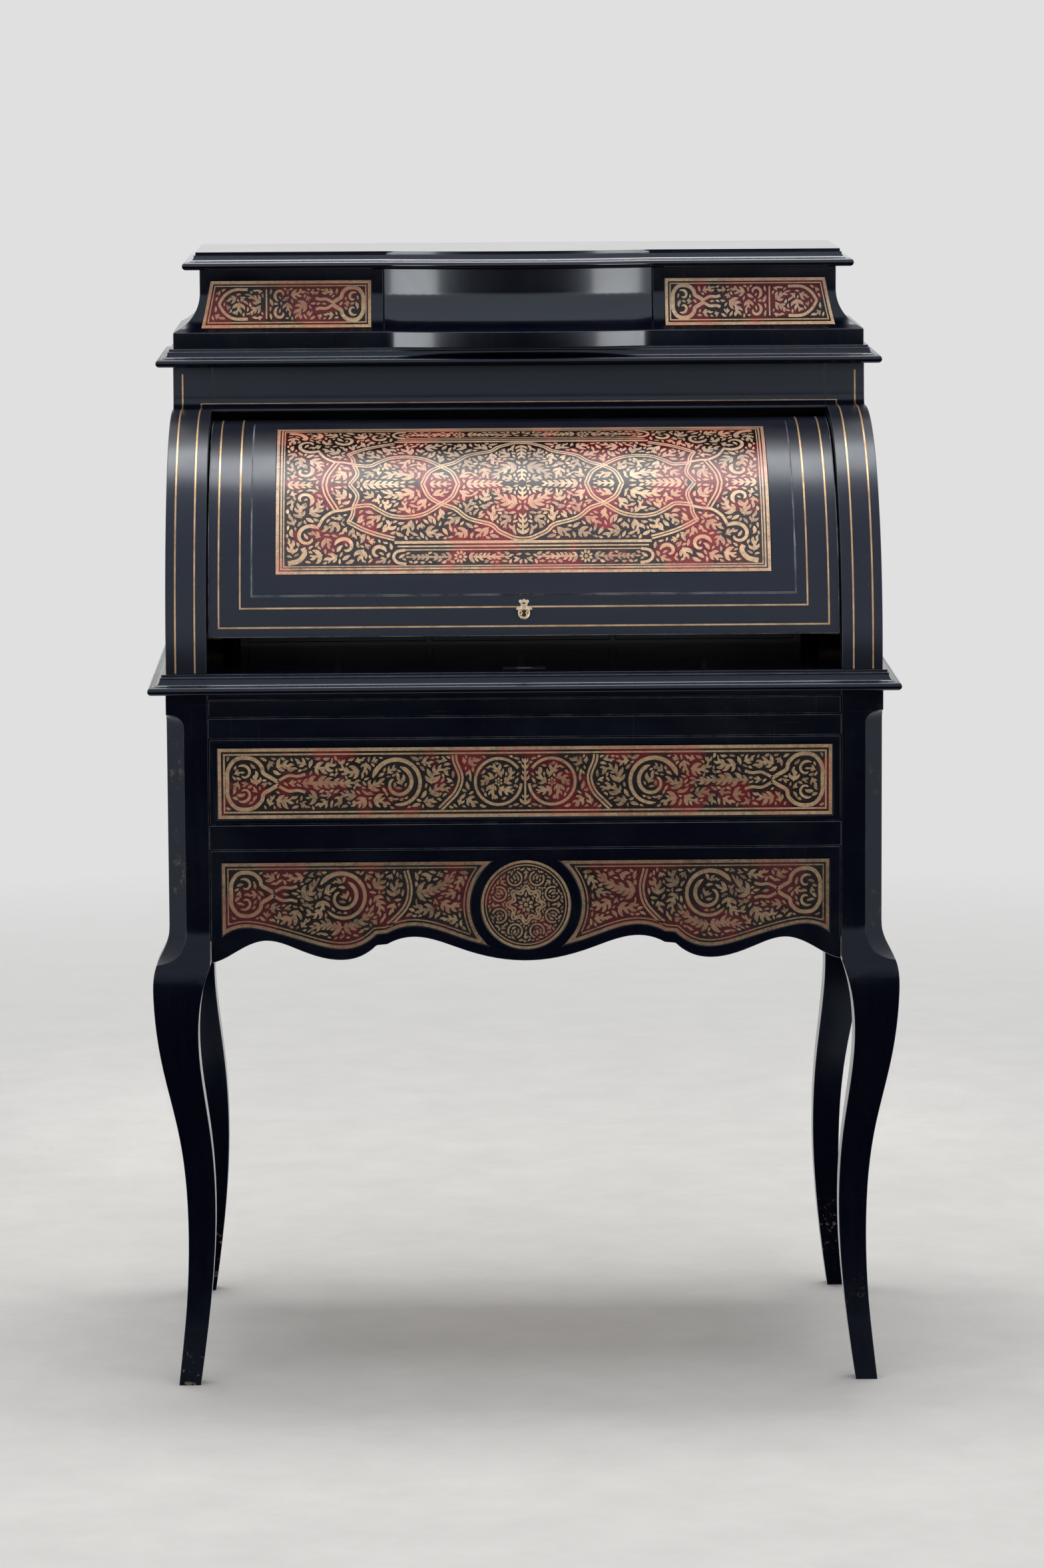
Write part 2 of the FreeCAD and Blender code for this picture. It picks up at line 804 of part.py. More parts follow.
def make_lid():
    """Curved board with a raised field, its marquetry sheet and the two arms that carry it."""
    shell = sector(lid_inner, lid_radius, lid_low, lid_low + lid_span_angle, lid_half)
    field_radius = lid_radius + panel_rise
    field = sector(lid_inner, field_radius, lid_angle(panel_bottom), lid_angle(panel_top),
                   lid_half - panel_side)
    sheet = sector(field_radius - veneer, field_radius, lid_angle(sheet_bottom), lid_angle(sheet_top),
                   lid_half - sheet_side)
    bore = Part.makeCylinder(shank_radius + shank_clearance, lid_radius,
                             V(0, axis_y, axis_z), V(0, -1, 0))
    pieces["lid_board"] = shell.fuse(field).removeSplitter().cut(sheet).cut(at_lid(bore, key_angle))
    pieces["lid_marquetry"] = sheet

    rim_outer = lid_inner - arm_rim_gap
    rim = sector(rim_outer - arm_rim, rim_outer, lid_low, lid_low + lid_span_angle, arm_thickness / 2)
    spokes = []
    for angle in (arm_low_angle, arm_high_angle):
        spoke = block(-arm_thickness / 2, arm_thickness / 2, axis_y - rim_outer + arm_rim / 2, axis_y,
                      axis_z - arm_spoke / 2, axis_z + arm_spoke / 2)
        spokes.append(at_lid(spoke, lid_low + angle))
    hub = Part.makeCylinder(hub_radius, arm_thickness, V(-arm_thickness / 2, axis_y, axis_z), V(1, 0, 0))
    hole = Part.makeCylinder(pivot_radius + pivot_clearance, arm_thickness,
                             V(-arm_thickness / 2, axis_y, axis_z), V(1, 0, 0))
    arm = hub.fuse(spokes + [rim]).removeSplitter().cut(hole)
    arm.translate(V(arm_inner + arm_thickness / 2, 0, 0))
    pieces["lid_right_arm"] = arm
    pieces["lid_left_arm"] = mirrored(arm)


def make_lock():
    """Lock case inside the lid, sliding bolt, escutcheon and key, drawn level and turned up to the key."""
    face = axis_y - lock_plane()
    back = face + lock_depth
    low = axis_z - lock_below_key
    case = block(-lock_width / 2, lock_width / 2, face, back, low, low + lock_height)
    hollow = block(-lock_width / 2 + lock_wall, lock_width / 2 - lock_wall, face, back - lock_wall,
                   low + lock_wall, low + lock_height - lock_wall)
    bolt_back = back - lock_wall - bolt_clearance
    slot = block(-bolt_width / 2 - bolt_clearance, bolt_width / 2 + bolt_clearance,
                 bolt_back - bolt_thickness - bolt_clearance, back - lock_wall, low, low + lock_wall)
    bolt = block(-bolt_width / 2, bolt_width / 2, bolt_back - bolt_thickness, bolt_back,
                 low, low + bolt_length)
    pieces["lock_case"] = at_lid(case.cut(hollow).cut(slot), key_angle)
    pieces["lock_bolt"] = at_lid(bolt, key_angle)

    skin = axis_y - lid_radius
    shield_front = skin - escutcheon_thickness
    tip = escutcheon_height / 2
    shoulder_out = escutcheon_shoulder_width / 2
    shoulder_up = escutcheon_shoulder_height / 2

    def on_shield(x, z):
        return V(x, shield_front, axis_z + z)

    right = [
        on_shield(0, tip),
        on_shield(shoulder_out, shoulder_up),
        on_shield(escutcheon_width / 2, 0),
        on_shield(shoulder_out, -shoulder_up),
        on_shield(0, -tip),
    ]
    left = [V(-p.x, p.y, p.z) for p in reversed(right)]
    shield = slab([spline(right), spline(left)], V(0, escutcheon_thickness, 0))
    keyhole = Part.makeCylinder(shank_radius + shank_clearance, escutcheon_thickness,
                                V(0, shield_front, axis_z), V(0, 1, 0))
    pieces["escutcheon"] = at_lid(shield.cut(keyhole), key_angle)

    bow_back = skin - shank_reach
    key_end = back - lock_wall - bolt_clearance
    shank = Part.makeCylinder(shank_radius, key_end - bow_back, V(0, bow_back, axis_z), V(0, 1, 0))
    loop = Part.makeCylinder(bow_height / 2, bow_thickness, V(0, -bow_thickness / 2, 0), V(0, 1, 0))
    stretch = FreeCAD.Matrix()
    stretch.scale(bow_width / bow_height, 1, 1)
    eye = Part.makeCylinder(bow_eye_height / 2, bow_thickness, V(0, -bow_thickness / 2, 0), V(0, 1, 0))
    bow = loop.transformGeometry(stretch).cut(eye.transformGeometry(stretch))
    bow.rotate(V(0, 0, 0), V(1, 0, 0), 90)
    bow.translate(V(0, bow_back - bow_height / 2 + bow_thickness / 2, axis_z))
    bit = block(0, bit_reach, key_end - bit_length, key_end,
                axis_z - bit_thickness / 2, axis_z + bit_thickness / 2)
    pieces["key"] = at_lid(shank.fuse([bow, bit]).removeSplitter(), key_angle)


def spread(count, low, high, thickness):
    """Edges of count equal bays between low and high with dividers between them, as (left, right) pairs."""
    bay = (high - low - (count - 1) * thickness) / count
    return [(low + i * (bay + thickness), low + i * (bay + thickness) + bay) for i in range(count)]


def make_nest():
    """Pigeonholes over three small drawers, standing on the desk board."""
    inner = nest_half - nest_board
    low = writing_height
    shelf = low + nest_shelf_height
    top = low + nest_height
    back = nest_back - nest_divider
    pieces["nest_boards"] = group([
        block(-inner, inner, nest_front, back, low, low + nest_floor),
        block(-inner, inner, nest_front, back, shelf, shelf + nest_divider),
        block(-inner, inner, nest_front, back, top - nest_board, top),
        block(-inner, inner, back, nest_back, low, top),
    ])
    uprights = [block(inner, nest_half, nest_front, nest_back, low, top)]
    uprights.append(mirrored(uprights[0]))
    for bay in spread(pigeonholes, -inner, inner, nest_divider)[:-1]:
        uprights.append(block(bay[1], bay[1] + nest_divider, nest_front, back,
                              shelf + nest_divider, top - nest_board))
    bays = spread(nest_drawers, -inner, inner, nest_divider)
    for bay in bays[:-1]:
        uprights.append(block(bay[1], bay[1] + nest_divider, nest_front, back, low + nest_floor, shelf))
    pieces["nest_uprights"] = group(uprights)
    for name, bay in zip(("left", "centre", "right"), bays):
        x0 = bay[0] + nest_drawer_gap
        x1 = bay[1] - nest_drawer_gap
        z0 = low + nest_floor + nest_drawer_gap
        z1 = shelf - nest_drawer_gap
        face = nest_front + nest_drawer_setback
        front = block(x0, x1, face, face + nest_drawer_front, z0, z1)
        boards = drawer_boards(x0, x1, face + nest_drawer_front, back - nest_drawer_wall, z0, z1 - z0,
                               nest_drawer_wall, nest_drawer_floor)
        pieces[name + "_nest_drawer"] = group([front] + boards.Solids)
        pieces[name + "_nest_knob"] = knob((x0 + x1) / 2, face, (z0 + z1) / 2)


def knob(x, face, z):
    """A small turned knob standing on a face towards the front."""
    def place(radius, out):
        return V(x + radius, face - out, z)

    ball = knob_length - knob_radius
    turn = math.sqrt(0.5)
    edges = [
        line(place(0, 0), place(knob_foot_radius, 0)),
        line(place(knob_foot_radius, 0), place(knob_neck, knob_neck_out)),
        line(place(knob_neck, knob_neck_out), place(knob_radius, ball)),
        arc(place(knob_radius, ball), place(knob_radius * turn, ball + knob_radius * turn),
            place(0, knob_length)),
        line(place(0, knob_length), place(0, 0)),
    ]
    return Part.Face(Part.Wire(edges)).revolve(V(x, face, z), V(0, 1, 0), 360)


def hollow_edges(place):
    """The top tier's hollowed face from foot to top, with place giving a point for (depth, z)."""
    foot = place(0.0, plinth_top + tier_gap)
    bend_height = plinth_top + cove_height
    half_rise = bend_height - cove_height / 2
    half_depth = cove_depth - cove_radius + math.sqrt(cove_radius ** 2 - (cove_height / 2) ** 2)
    tangent = place(cove_depth, bend_height)
    head = place(cove_depth, tier_top - tier_gap)
    return foot, [arc(foot, place(half_depth, half_rise), tangent), line(tangent, head)], head


def hollow_face(x, depth_of_back):
    """The front's section in a plane of constant x, back to depth_of_back behind the plinth's front."""
    foot, edges, head = hollow_edges(lambda d, z: V(x, plinth_front + d, z))
    back_head = V(x, plinth_front + depth_of_back, head.z)
    back_foot = V(x, plinth_front + depth_of_back, foot.z)
    edges.append(line(head, back_head))
    edges.append(line(back_head, back_foot))
    edges.append(line(back_foot, foot))
    return Part.Face(Part.Wire(edges))


def hollow_end(inner_x, y):
    """The right end's section in a plane of constant y, from inner_x out to the hollowed end face."""
    foot, edges, head = hollow_edges(lambda d, z: V(plinth_half - d, y, z))
    inner_head = V(inner_x, y, head.z)
    inner_foot = V(inner_x, y, foot.z)
    edges.append(line(head, inner_head))
    edges.append(line(inner_head, inner_foot))
    edges.append(line(inner_foot, foot))
    return Part.Face(Part.Wire(edges))


def make_top_tier():
    """Plinth, hollowed drawers with a bowed middle one, walls and the top cornice."""
    plinth = block(-plinth_half, plinth_half, plinth_front, upper_back, tier_low, plinth_top)
    middle = Part.Face(Part.makePolygon([
        V(0, plinth_front - centre_bow, tier_low),
        V(0, tier_body, tier_low),
        V(0, tier_body, plinth_top),
        V(0, plinth_front - centre_bow, plinth_top),
        V(0, plinth_front - centre_bow, tier_low),
    ]))
    pieces["top_plinth"] = plinth.fuse(bowed(middle, plinth_front)).removeSplitter()

    back_depth = tier_body - plinth_front
    front_x = centre_half + tier_gap
    straight = hollow_face(front_x, back_depth).extrude(V(plinth_half, 0, 0))
    capped = hollow_end(front_x, plinth_front).extrude(V(0, back_depth, 0))
    right_front = straight.common(capped)
    sheet = tier_sheet()
    pieces["right_top_drawer_front"] = right_front.cut(sheet)
    pieces["left_top_drawer_front"] = mirrored(right_front.cut(sheet))
    pieces["right_top_marquetry"] = sheet.common(right_front)
    pieces["left_top_marquetry"] = mirrored(sheet.common(right_front))
    section = hollow_face(0, back_depth + centre_bow)
    section.translate(V(0, -centre_bow, 0))
    window = block(-centre_half + tier_gap, centre_half - tier_gap, plinth_front - 2 * centre_bow,
                   tier_body, plinth_top, tier_top)
    pieces["centre_top_drawer_front"] = bowed(section, plinth_front).common(window)

    wall_front = tier_body + tier_gap
    wall_inner = tier_half - tier_side_thickness
    wall = hollow_end(wall_inner, wall_front)
    wall = wall.extrude(V(0, upper_back - wall_front, 0))
    wall_top = block(wall_inner, tier_half, wall_front, upper_back, tier_top - tier_gap, tier_top)
    wall_foot = block(wall_inner, plinth_half, wall_front, upper_back, plinth_top, plinth_top + tier_gap)
    wall = wall.fuse([wall_top, wall_foot]).removeSplitter()
    back_face = upper_back - back_panel_thickness
    partition = block(centre_half - partition_thickness / 2, centre_half + partition_thickness / 2,
                      wall_front, back_face, plinth_top, tier_top)
    pieces["top_tier_walls"] = group([wall, mirrored(wall), partition, mirrored(partition)])
    pieces["top_tier_back"] = block(-wall_inner, wall_inner, back_face, upper_back, plinth_top, tier_top)

    low = plinth_top + tier_gap
    outer = wall_inner - tier_drawer_side_gap
    inner = centre_half + partition_thickness / 2 + tier_drawer_side_gap
    end = back_face - tier_drawer_wall
    box_height = tier_top - tier_box_headroom - low
    pieces["right_top_drawer_box"] = drawer_boards(inner, outer, tier_body, end, low, box_height,
                                                   tier_drawer_wall, tier_drawer_floor)
    pieces["left_top_drawer_box"] = mirrored(pieces["right_top_drawer_box"])
    half = centre_half - partition_thickness / 2 - tier_drawer_side_gap
    pieces["centre_top_drawer_box"] = drawer_boards(-half, half, tier_body, end, low, box_height,
                                                    tier_drawer_wall, tier_drawer_floor)

    cornice = moulded_board(tier_half + top_overhang, tier_front - top_overhang, upper_back,
                            tier_top, top_cornice_height)
    nose_front = tier_front - top_overhang - centre_bow

    def on_middle(inset, z):
        return V(0, nose_front + inset, tier_top + z)

    edges = moulded_edges(top_cornice_height, on_middle)
    far = tier_body - nose_front
    edges.append(line(on_middle(edge_inset, top_cornice_height), on_middle(far, top_cornice_height)))
    edges.append(line(on_middle(far, top_cornice_height), on_middle(far, 0)))
    edges.append(line(on_middle(far, 0), on_middle(nose_radius, 0)))
    bow = bowed(Part.Face(Part.Wire(edges)), nose_front + centre_bow)
    pieces["top_cornice"] = cornice.fuse(bow).removeSplitter()


def tier_sheet():
    """The marquetry sheet of the right top drawer: a skin of the hollowed front, wider at its foot."""
    def skin(depth):
        foot, edges, head = hollow_edges(lambda d, z: V(0, plinth_front + d + depth, z))
        far = plinth_front - centre_bow
        front_foot = V(0, far, foot.z)
        front_head = V(0, far, head.z)
        edges.append(line(head, front_head))
        edges.append(line(front_head, front_foot))
        edges.append(line(front_foot, foot))
        return Part.Face(Part.Wire(edges)).extrude(V(plinth_half, 0, 0))

    layer = skin(veneer).cut(skin(0.0))
    inner = centre_half + tier_sheet_inner
    outer = tier_half - tier_sheet_outer
    low = plinth_top + tier_sheet_bottom
    high = tier_top - tier_sheet_top
    front = plinth_front - centre_bow
    outline = [V(inner, front, low), V(outer + tier_sheet_flare, front, low),
               V(outer, front, high), V(inner, front, high)]
    return layer.common(polygon(outline, V(0, tier_body - front, 0)))


make_legs()
make_lower_case()
make_upper_drawer()
make_lower_drawer()
make_writing_slide()
make_desk_board()
make_cylinder_case()
make_lid()
make_lock()
make_nest()
make_top_tier()

os.makedirs("parts", exist_ok=True)
for name, shape in pieces.items():
    shape.exportStep("parts/" + name + ".step")
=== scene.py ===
"""Looks of an ebonised cylinder desk: black polish, brass lines, and brass and shell marquetry.

Metres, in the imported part's frame: +Z up, the front towards -Y.
"""
import json
import math

import bpy
import numpy as np
from bpy.props import FloatProperty, FloatVectorProperty, PointerProperty
from mathutils import Matrix, Vector

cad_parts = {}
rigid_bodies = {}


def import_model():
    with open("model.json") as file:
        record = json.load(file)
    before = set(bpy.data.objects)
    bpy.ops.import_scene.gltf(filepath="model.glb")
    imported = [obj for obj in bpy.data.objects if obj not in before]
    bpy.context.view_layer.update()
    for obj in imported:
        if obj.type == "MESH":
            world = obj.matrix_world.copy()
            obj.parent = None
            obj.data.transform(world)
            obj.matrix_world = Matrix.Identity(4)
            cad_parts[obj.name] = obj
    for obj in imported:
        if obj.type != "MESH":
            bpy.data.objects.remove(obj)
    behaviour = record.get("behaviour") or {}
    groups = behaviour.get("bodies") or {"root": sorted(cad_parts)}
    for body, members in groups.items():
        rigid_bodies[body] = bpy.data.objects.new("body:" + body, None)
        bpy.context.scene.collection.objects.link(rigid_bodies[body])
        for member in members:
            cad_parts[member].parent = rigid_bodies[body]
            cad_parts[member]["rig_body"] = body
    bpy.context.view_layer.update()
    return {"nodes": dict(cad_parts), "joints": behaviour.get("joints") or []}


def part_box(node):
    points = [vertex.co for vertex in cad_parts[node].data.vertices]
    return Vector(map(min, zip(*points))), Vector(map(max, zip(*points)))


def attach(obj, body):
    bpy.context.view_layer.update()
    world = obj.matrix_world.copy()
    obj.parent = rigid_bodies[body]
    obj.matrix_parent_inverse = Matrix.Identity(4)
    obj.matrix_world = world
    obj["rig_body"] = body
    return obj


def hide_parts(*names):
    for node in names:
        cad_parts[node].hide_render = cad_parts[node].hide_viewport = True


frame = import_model()

bl_info = {
    "name": "Cylinder Desk Looks",
    "version": (1, 0, 0),
    "blender": (4, 5, 0),
    "location": "View3D > Sidebar > Desk",
    "description": "Black polish, brass lines and marquetry around the packed desk",
    "category": "Object",
}


def length(label, about, default):
    """A property that holds a length in metres."""
    return FloatProperty(name=label, description=about, default=default, unit="LENGTH")


def colour(label, about, default):
    """A property that holds a colour."""
    return FloatVectorProperty(name=label, description=about, default=default, size=3,
                               subtype="COLOR", min=0.0, max=1.0)


class DeskSizes(bpy.types.PropertyGroup):
    """Sizes of what is laid on and let into the desk's boards."""
    arris: length("Arris", "Rounding of the boards' edges", 0.0007)
    front_arris: length("Front arris", "Rounding of the worn edges of drawers, rails and lid", 0.0011)
    plate: length("Key plate", "Thickness of the brass plate round the key", 0.0012)
    line_width: length("Line width", "Width of the brass lines", 0.0017)
    line_proud: length("Line proud", "How far a brass line stands out of the polish", 0.0001)
    line_depth: length("Line depth", "Thickness of a brass line", 0.0006)
    inlay_proud: length("Inlay proud", "How far the inlaid brass stands out of its ground", 0.00012)
    inlay_depth: length("Inlay depth", "Thickness of the inlaid brass", 0.0004)


class DeskColours(bpy.types.PropertyGroup):
    """Colours of the desk's finishes."""
    polish: colour("Polish", "Black polish on the outside", (0.0007, 0.0016, 0.0085))
    polish_warm: colour("Thin polish", "Polish where the wood shows through", (0.012, 0.0095, 0.0085))
    dust: colour("Dust", "Dust in the old polish", (0.12, 0.125, 0.135))
    rubbed: colour("Rubbed edge", "Wood on the worn arrises", (0.26, 0.265, 0.28))
    bare: colour("Bare wood", "Wood where the polish is chipped off", (0.2, 0.15, 0.11))
    brass: colour("Brass", "Polished brass of lines and inlay", (0.68, 0.45, 0.25))
    key_brass: colour("Key brass", "Brass of the key and its plate", (0.95, 0.76, 0.5))
    brass_dull: colour("Dull brass", "Tarnished brass", (0.22, 0.12, 0.045))
    inlay: colour("Inlay", "Brass of the marquetry", (0.64, 0.425, 0.23))
    # Tarnish of the marquetry's brass, and also the colour of the painted shade high on the lid
    inlay_dull: colour("Dull inlay", "Tarnished brass of the marquetry", (0.17, 0.095, 0.045))
    shell_black: colour("Black shell", "Dark ground of the marquetry", (0.012, 0.0065, 0.0055))
    shell_red: colour("Red shell", "Red ground of the marquetry", (0.2, 0.01, 0.017))
    inlay_red: colour("Reddened inlay", "Brass of the marquetry over red shell", (0.44, 0.15, 0.08))
    pine: colour("Drawer wood", "Plain wood of the drawer boxes", (0.33, 0.2, 0.1))
    pine_dark: colour("Drawer grain", "Dark grain of the drawer boxes", (0.17, 0.09, 0.04))
    # The pigeonholes' wood is dark, and darker still as painted shade inside the closed desk
    nest: colour("Nest wood", "Polished wood of the pigeonholes", (0.014, 0.0055, 0.003))
    nest_dark: colour("Nest grain", "Dark grain of the pigeonholes", (0.005, 0.002, 0.0015))
    leather: colour("Leather", "Leather of the writing slide", (0.13, 0.022, 0.018))
    leather_worn: colour("Worn leather", "Rubbed leather", (0.27, 0.09, 0.06))
    iron: colour("Lock iron", "Lock case and bolt", (0.28, 0.27, 0.26))
    floor: colour("Floor", "Pale floor", (0.75, 0.735, 0.705))
    backdrop: colour("Backdrop", "Pale surroundings", (0.745, 0.745, 0.745))


# Finishes

def add(tree, kind, inputs=None, **settings):
    """A node with its settings; inputs gives a socket its value, or the output that feeds it."""
    made = tree.nodes.new(kind)
    for key, value in settings.items():
        setattr(made, key, value)
    for key, value in (inputs or {}).items():
        if isinstance(value, bpy.types.NodeSocket):
            tree.links.new(value, made.inputs[key])
        else:
            made.inputs[key].default_value = value
    return made


def mix(tree, share, first, second):
    """The colour between two, each a colour or an output."""
    ends = [c if isinstance(c, bpy.types.NodeSocket) else (*c, 1.0) for c in (first, second)]
    return add(tree, "ShaderNodeMix", {0: share, 6: ends[0], 7: ends[1]}, data_type="RGBA").outputs[2]


def spread(tree, value, low, high, to_low=0.0, to_high=1.0):
    """The value carried from one range to another, held at its ends."""
    limits = {"Value": value, "From Min": low, "From Max": high, "To Min": to_low, "To Max": to_high}
    return add(tree, "ShaderNodeMapRange", limits).outputs["Result"]


def product(tree, first, second):
    """The product of two, each a number or an output."""
    return add(tree, "ShaderNodeMath", {0: first, 1: second}, operation="MULTIPLY").outputs[0]


def total(tree, first, second):
    """The sum of two, each a number or an output."""
    return add(tree, "ShaderNodeMath", {0: first, 1: second}, operation="ADD").outputs[0]


def shader_group(name, inputs, outputs):
    """A new shader node group with named sockets, with its input and output nodes."""
    tree = bpy.data.node_groups.new(name, "ShaderNodeTree")
    for label, kind, value in inputs:
        tree.interface.new_socket(label, in_out="INPUT", socket_type=kind).default_value = value
    for label in outputs:
        tree.interface.new_socket(label, in_out="OUTPUT", socket_type="NodeSocketFloat")
    return tree, tree.nodes.new("NodeGroupInput"), tree.nodes.new("NodeGroupOutput")


def object_noise(tree, scale, detail, stretch=None, rough=0.55, distortion=0.0):
    """Noise on the object's own coordinates, stretched along its axes where asked."""
    place = add(tree, "ShaderNodeTexCoord").outputs["Object"]
    if stretch is not None:
        place = add(tree, "ShaderNodeVectorMath", {0: place, 1: stretch}, operation="MULTIPLY").outputs[0]
    return add(tree, "ShaderNodeTexNoise", {"Vector": place, "Scale": scale, "Detail": detail,
                                            "Roughness": rough, "Distortion": distortion}).outputs["Fac"]


def grain_group():
    """Streaks of wood grain: Stretch is how often they change along each axis, per metre."""
    tree, given, out = shader_group("Wood grain", [("Stretch", "NodeSocketVector", (8.0, 90.0, 90.0))],
                                    ["Streak", "Height"])
    broad = object_noise(tree, 1.0, 5.0, given.outputs["Stretch"], distortion=0.6)
    fine = object_noise(tree, 5.0, 3.0, given.outputs["Stretch"])
    tree.links.new(spread(tree, broad, 0.32, 0.7), out.inputs["Streak"])
    tree.links.new(total(tree, product(tree, broad, 0.4), product(tree, fine, 0.6)), out.inputs["Height"])
    return tree


def rubbing_group():
    """Rubbed arrises, marked on a dressed board, with chips near the floor and scuffs on the posts."""
    amounts = [("Amount", "NodeSocketFloat", 1.0), ("Scuffs", "NodeSocketFloat", 0.0)]
    tree, given, out = shader_group("Rubbed arris", amounts, ["Mask", "Chips"])
    edge = add(tree, "ShaderNodeAttribute", attribute_name="arris").outputs["Fac"]
    patches = object_noise(tree, 26.0, 5.0, rough=0.7)
    worn = product(tree, edge, spread(tree, patches, 0.38, 0.66, 0.15, 1.0))
    tree.links.new(product(tree, worn, given.outputs["Amount"]), out.inputs["Mask"])
    place = add(tree, "ShaderNodeTexCoord").outputs["Object"]
    spot = add(tree, "ShaderNodeSeparateXYZ", {0: place}).outputs
    height = spot["Z"]
    flakes = spread(tree, object_noise(tree, 190.0, 3.0, rough=0.6), 0.6, 0.64)
    where = spread(tree, object_noise(tree, 11.0, 2.0), 0.48, 0.6)
    low = product(tree, where, spread(tree, height, 0.03, 0.12, 1.0, 0.0))
    across = add(tree, "ShaderNodeMath", {0: spot["X"]}, operation="ABSOLUTE").outputs[0]
    aside = spread(tree, across, 0.349, 0.354)
    posts = product(tree, spread(tree, height, 0.42, 0.52), spread(tree, height, 0.66, 0.72, 1.0, 0.0))
    scuffs = product(tree, spread(tree, object_noise(tree, 75.0, 6.0, rough=0.75), 0.55, 0.63, 0.0, 0.5),
                     spread(tree, object_noise(tree, 13.0, 2.0), 0.5, 0.6))
    scuffs = product(tree, product(tree, scuffs, given.outputs["Scuffs"]), product(tree, aside, posts))
    tree.links.new(total(tree, product(tree, flakes, low), scuffs), out.inputs["Chips"])
    return tree


def red_group():
    """Where the shell is red: broad patches, broken by a finer mottle."""
    tree, given, out = shader_group("Red shell", [("Patch size", "NodeSocketFloat", 17.0)],
                                    ["Red", "Mottle"])
    broad = object_noise(tree, given.outputs["Patch size"], 4.0, rough=0.6, distortion=0.5)
    mottle = object_noise(tree, 120.0, 4.0, rough=0.7)
    red = product(tree, spread(tree, broad, 0.49, 0.56), spread(tree, mottle, 0.3, 0.6, 0.4, 1.0))
    tree.links.new(red, out.inputs["Red"])
    tree.links.new(mottle, out.inputs["Mottle"])
    return tree


def handling_group():
    """Smears, dust and fine scratches that break up the gloss."""
    tree, given, out = shader_group("Handling", [("Smear size", "NodeSocketFloat", 6.0)],
                                    ["Smear", "Scratch", "Dust"])
    smear = object_noise(tree, given.outputs["Smear size"], 6.0, rough=0.65, distortion=0.8)
    across = object_noise(tree, 1.0, 2.0, (14.0, 14.0, 900.0))
    along = object_noise(tree, 1.0, 2.0, (900.0, 40.0, 9.0))
    fine = add(tree, "ShaderNodeMath", {0: across, 1: along}, operation="MAXIMUM").outputs[0]
    tree.links.new(spread(tree, smear, 0.3, 0.72), out.inputs["Smear"])
    tree.links.new(spread(tree, fine, 0.7, 0.78), out.inputs["Scratch"])
    specks = spread(tree, object_noise(tree, 420.0, 6.0, rough=0.75), 0.6, 0.78)
    tree.links.new(product(tree, specks, spread(tree, smear, 0.4, 0.65, 0.15, 1.0)), out.inputs["Dust"])
    return tree


def tarnish_group():
    """Tarnish on brass: broad dull patches, finer worn ones and small dark pits."""
    tree, given, out = shader_group("Tarnish", [("Patch size", "NodeSocketFloat", 30.0)],
                                    ["Dull", "Worn", "Pits"])
    broad = object_noise(tree, given.outputs["Patch size"], 6.0, rough=0.7)
    worn = object_noise(tree, 210.0, 5.0, rough=0.65, distortion=1.2)
    pits = object_noise(tree, 900.0, 2.0)
    tree.links.new(spread(tree, broad, 0.35, 0.72), out.inputs["Dull"])
    tree.links.new(spread(tree, worn, 0.42, 0.66), out.inputs["Worn"])
    tree.links.new(spread(tree, pits, 0.62, 0.75), out.inputs["Pits"])
    return tree


GROUPS = {"grain": grain_group, "rubbing": rubbing_group, "red": red_group, "handling": handling_group,
          "tarnish": tarnish_group}


def effect(tree, kind, inputs=None):
    """One of the shared effects in a material, with its own values."""
    group = bpy.data.node_groups.get("desk_" + kind)
    if group is None:
        group = GROUPS[kind]()
        group.name = "desk_" + kind
    made = tree.nodes.new("ShaderNodeGroup")
    made.node_tree = group
    for key, value in (inputs or {}).items():
        made.inputs[key].default_value = value
    return made.outputs


def finish(name, constants):
    """A new material whose shader has these constant sockets set."""
    made = bpy.data.materials.new(name)
    made.use_nodes = True
    shader = made.node_tree.nodes["Principled BSDF"]
    for key, value in constants.items():
        shader.inputs[key].default_value = value
    return made, made.node_tree, shader


def feed(tree, shader, base, roughness=None, height=None, bump=0.1, deep=0.0002):
    """Joins the varying outputs to the shader, the height through a bump."""
    tree.links.new(base, shader.inputs["Base Color"])
    if roughness is not None:
        tree.links.new(roughness, shader.inputs["Roughness"])
    if height is not None:
        relief = add(tree, "ShaderNodeBump", {"Height": height, "Strength": bump, "Distance": deep})
        tree.links.new(relief.outputs["Normal"], shader.inputs["Normal"])


# How often the grain changes along each axis, per metre, for the ways that the wood may run
ALONG = {"x": (7.0, 110.0, 110.0), "y": (110.0, 7.0, 110.0), "z": (110.0, 110.0, 7.0)}


def black_polish(name, coat, shine, scuffs, haze):
    """Ebonised wood under old polish, its grain along the axis that ends the name."""
    tones = bpy.context.scene.desk_colours
    made, tree, shader = finish(name, {"Specular IOR Level": shine, "Specular Tint": (0.86, 0.93, 1.0, 1.0),
                                       "Coat Weight": coat, "Coat Roughness": 0.09 + haze, "Coat IOR": 1.4})
    grain = effect(tree, "grain", {"Stretch": ALONG[name[-1]]})
    touch = effect(tree, "handling", {"Smear size": 7.0})
    wear = effect(tree, "rubbing", {"Amount": 0.9, "Scuffs": scuffs})
    worn = wear["Mask"]
    wood = mix(tree, product(tree, grain["Streak"], 0.2), tones.polish, tones.polish_warm)
    body = mix(tree, product(tree, touch["Dust"], 0.35), wood, tones.dust)
    base = mix(tree, wear["Chips"], mix(tree, worn, body, tones.rubbed), tones.bare)
    rough = total(tree, spread(tree, touch["Smear"], 0.0, 1.0, 0.15 + haze, 0.27 + haze),
                  total(tree, product(tree, touch["Scratch"], 0.12), product(tree, worn, 0.2)))
    height = total(tree, grain["Height"], product(tree, touch["Scratch"], -0.5))
    feed(tree, shader, base, rough, height=height, bump=0.12, deep=0.00012)
    return made


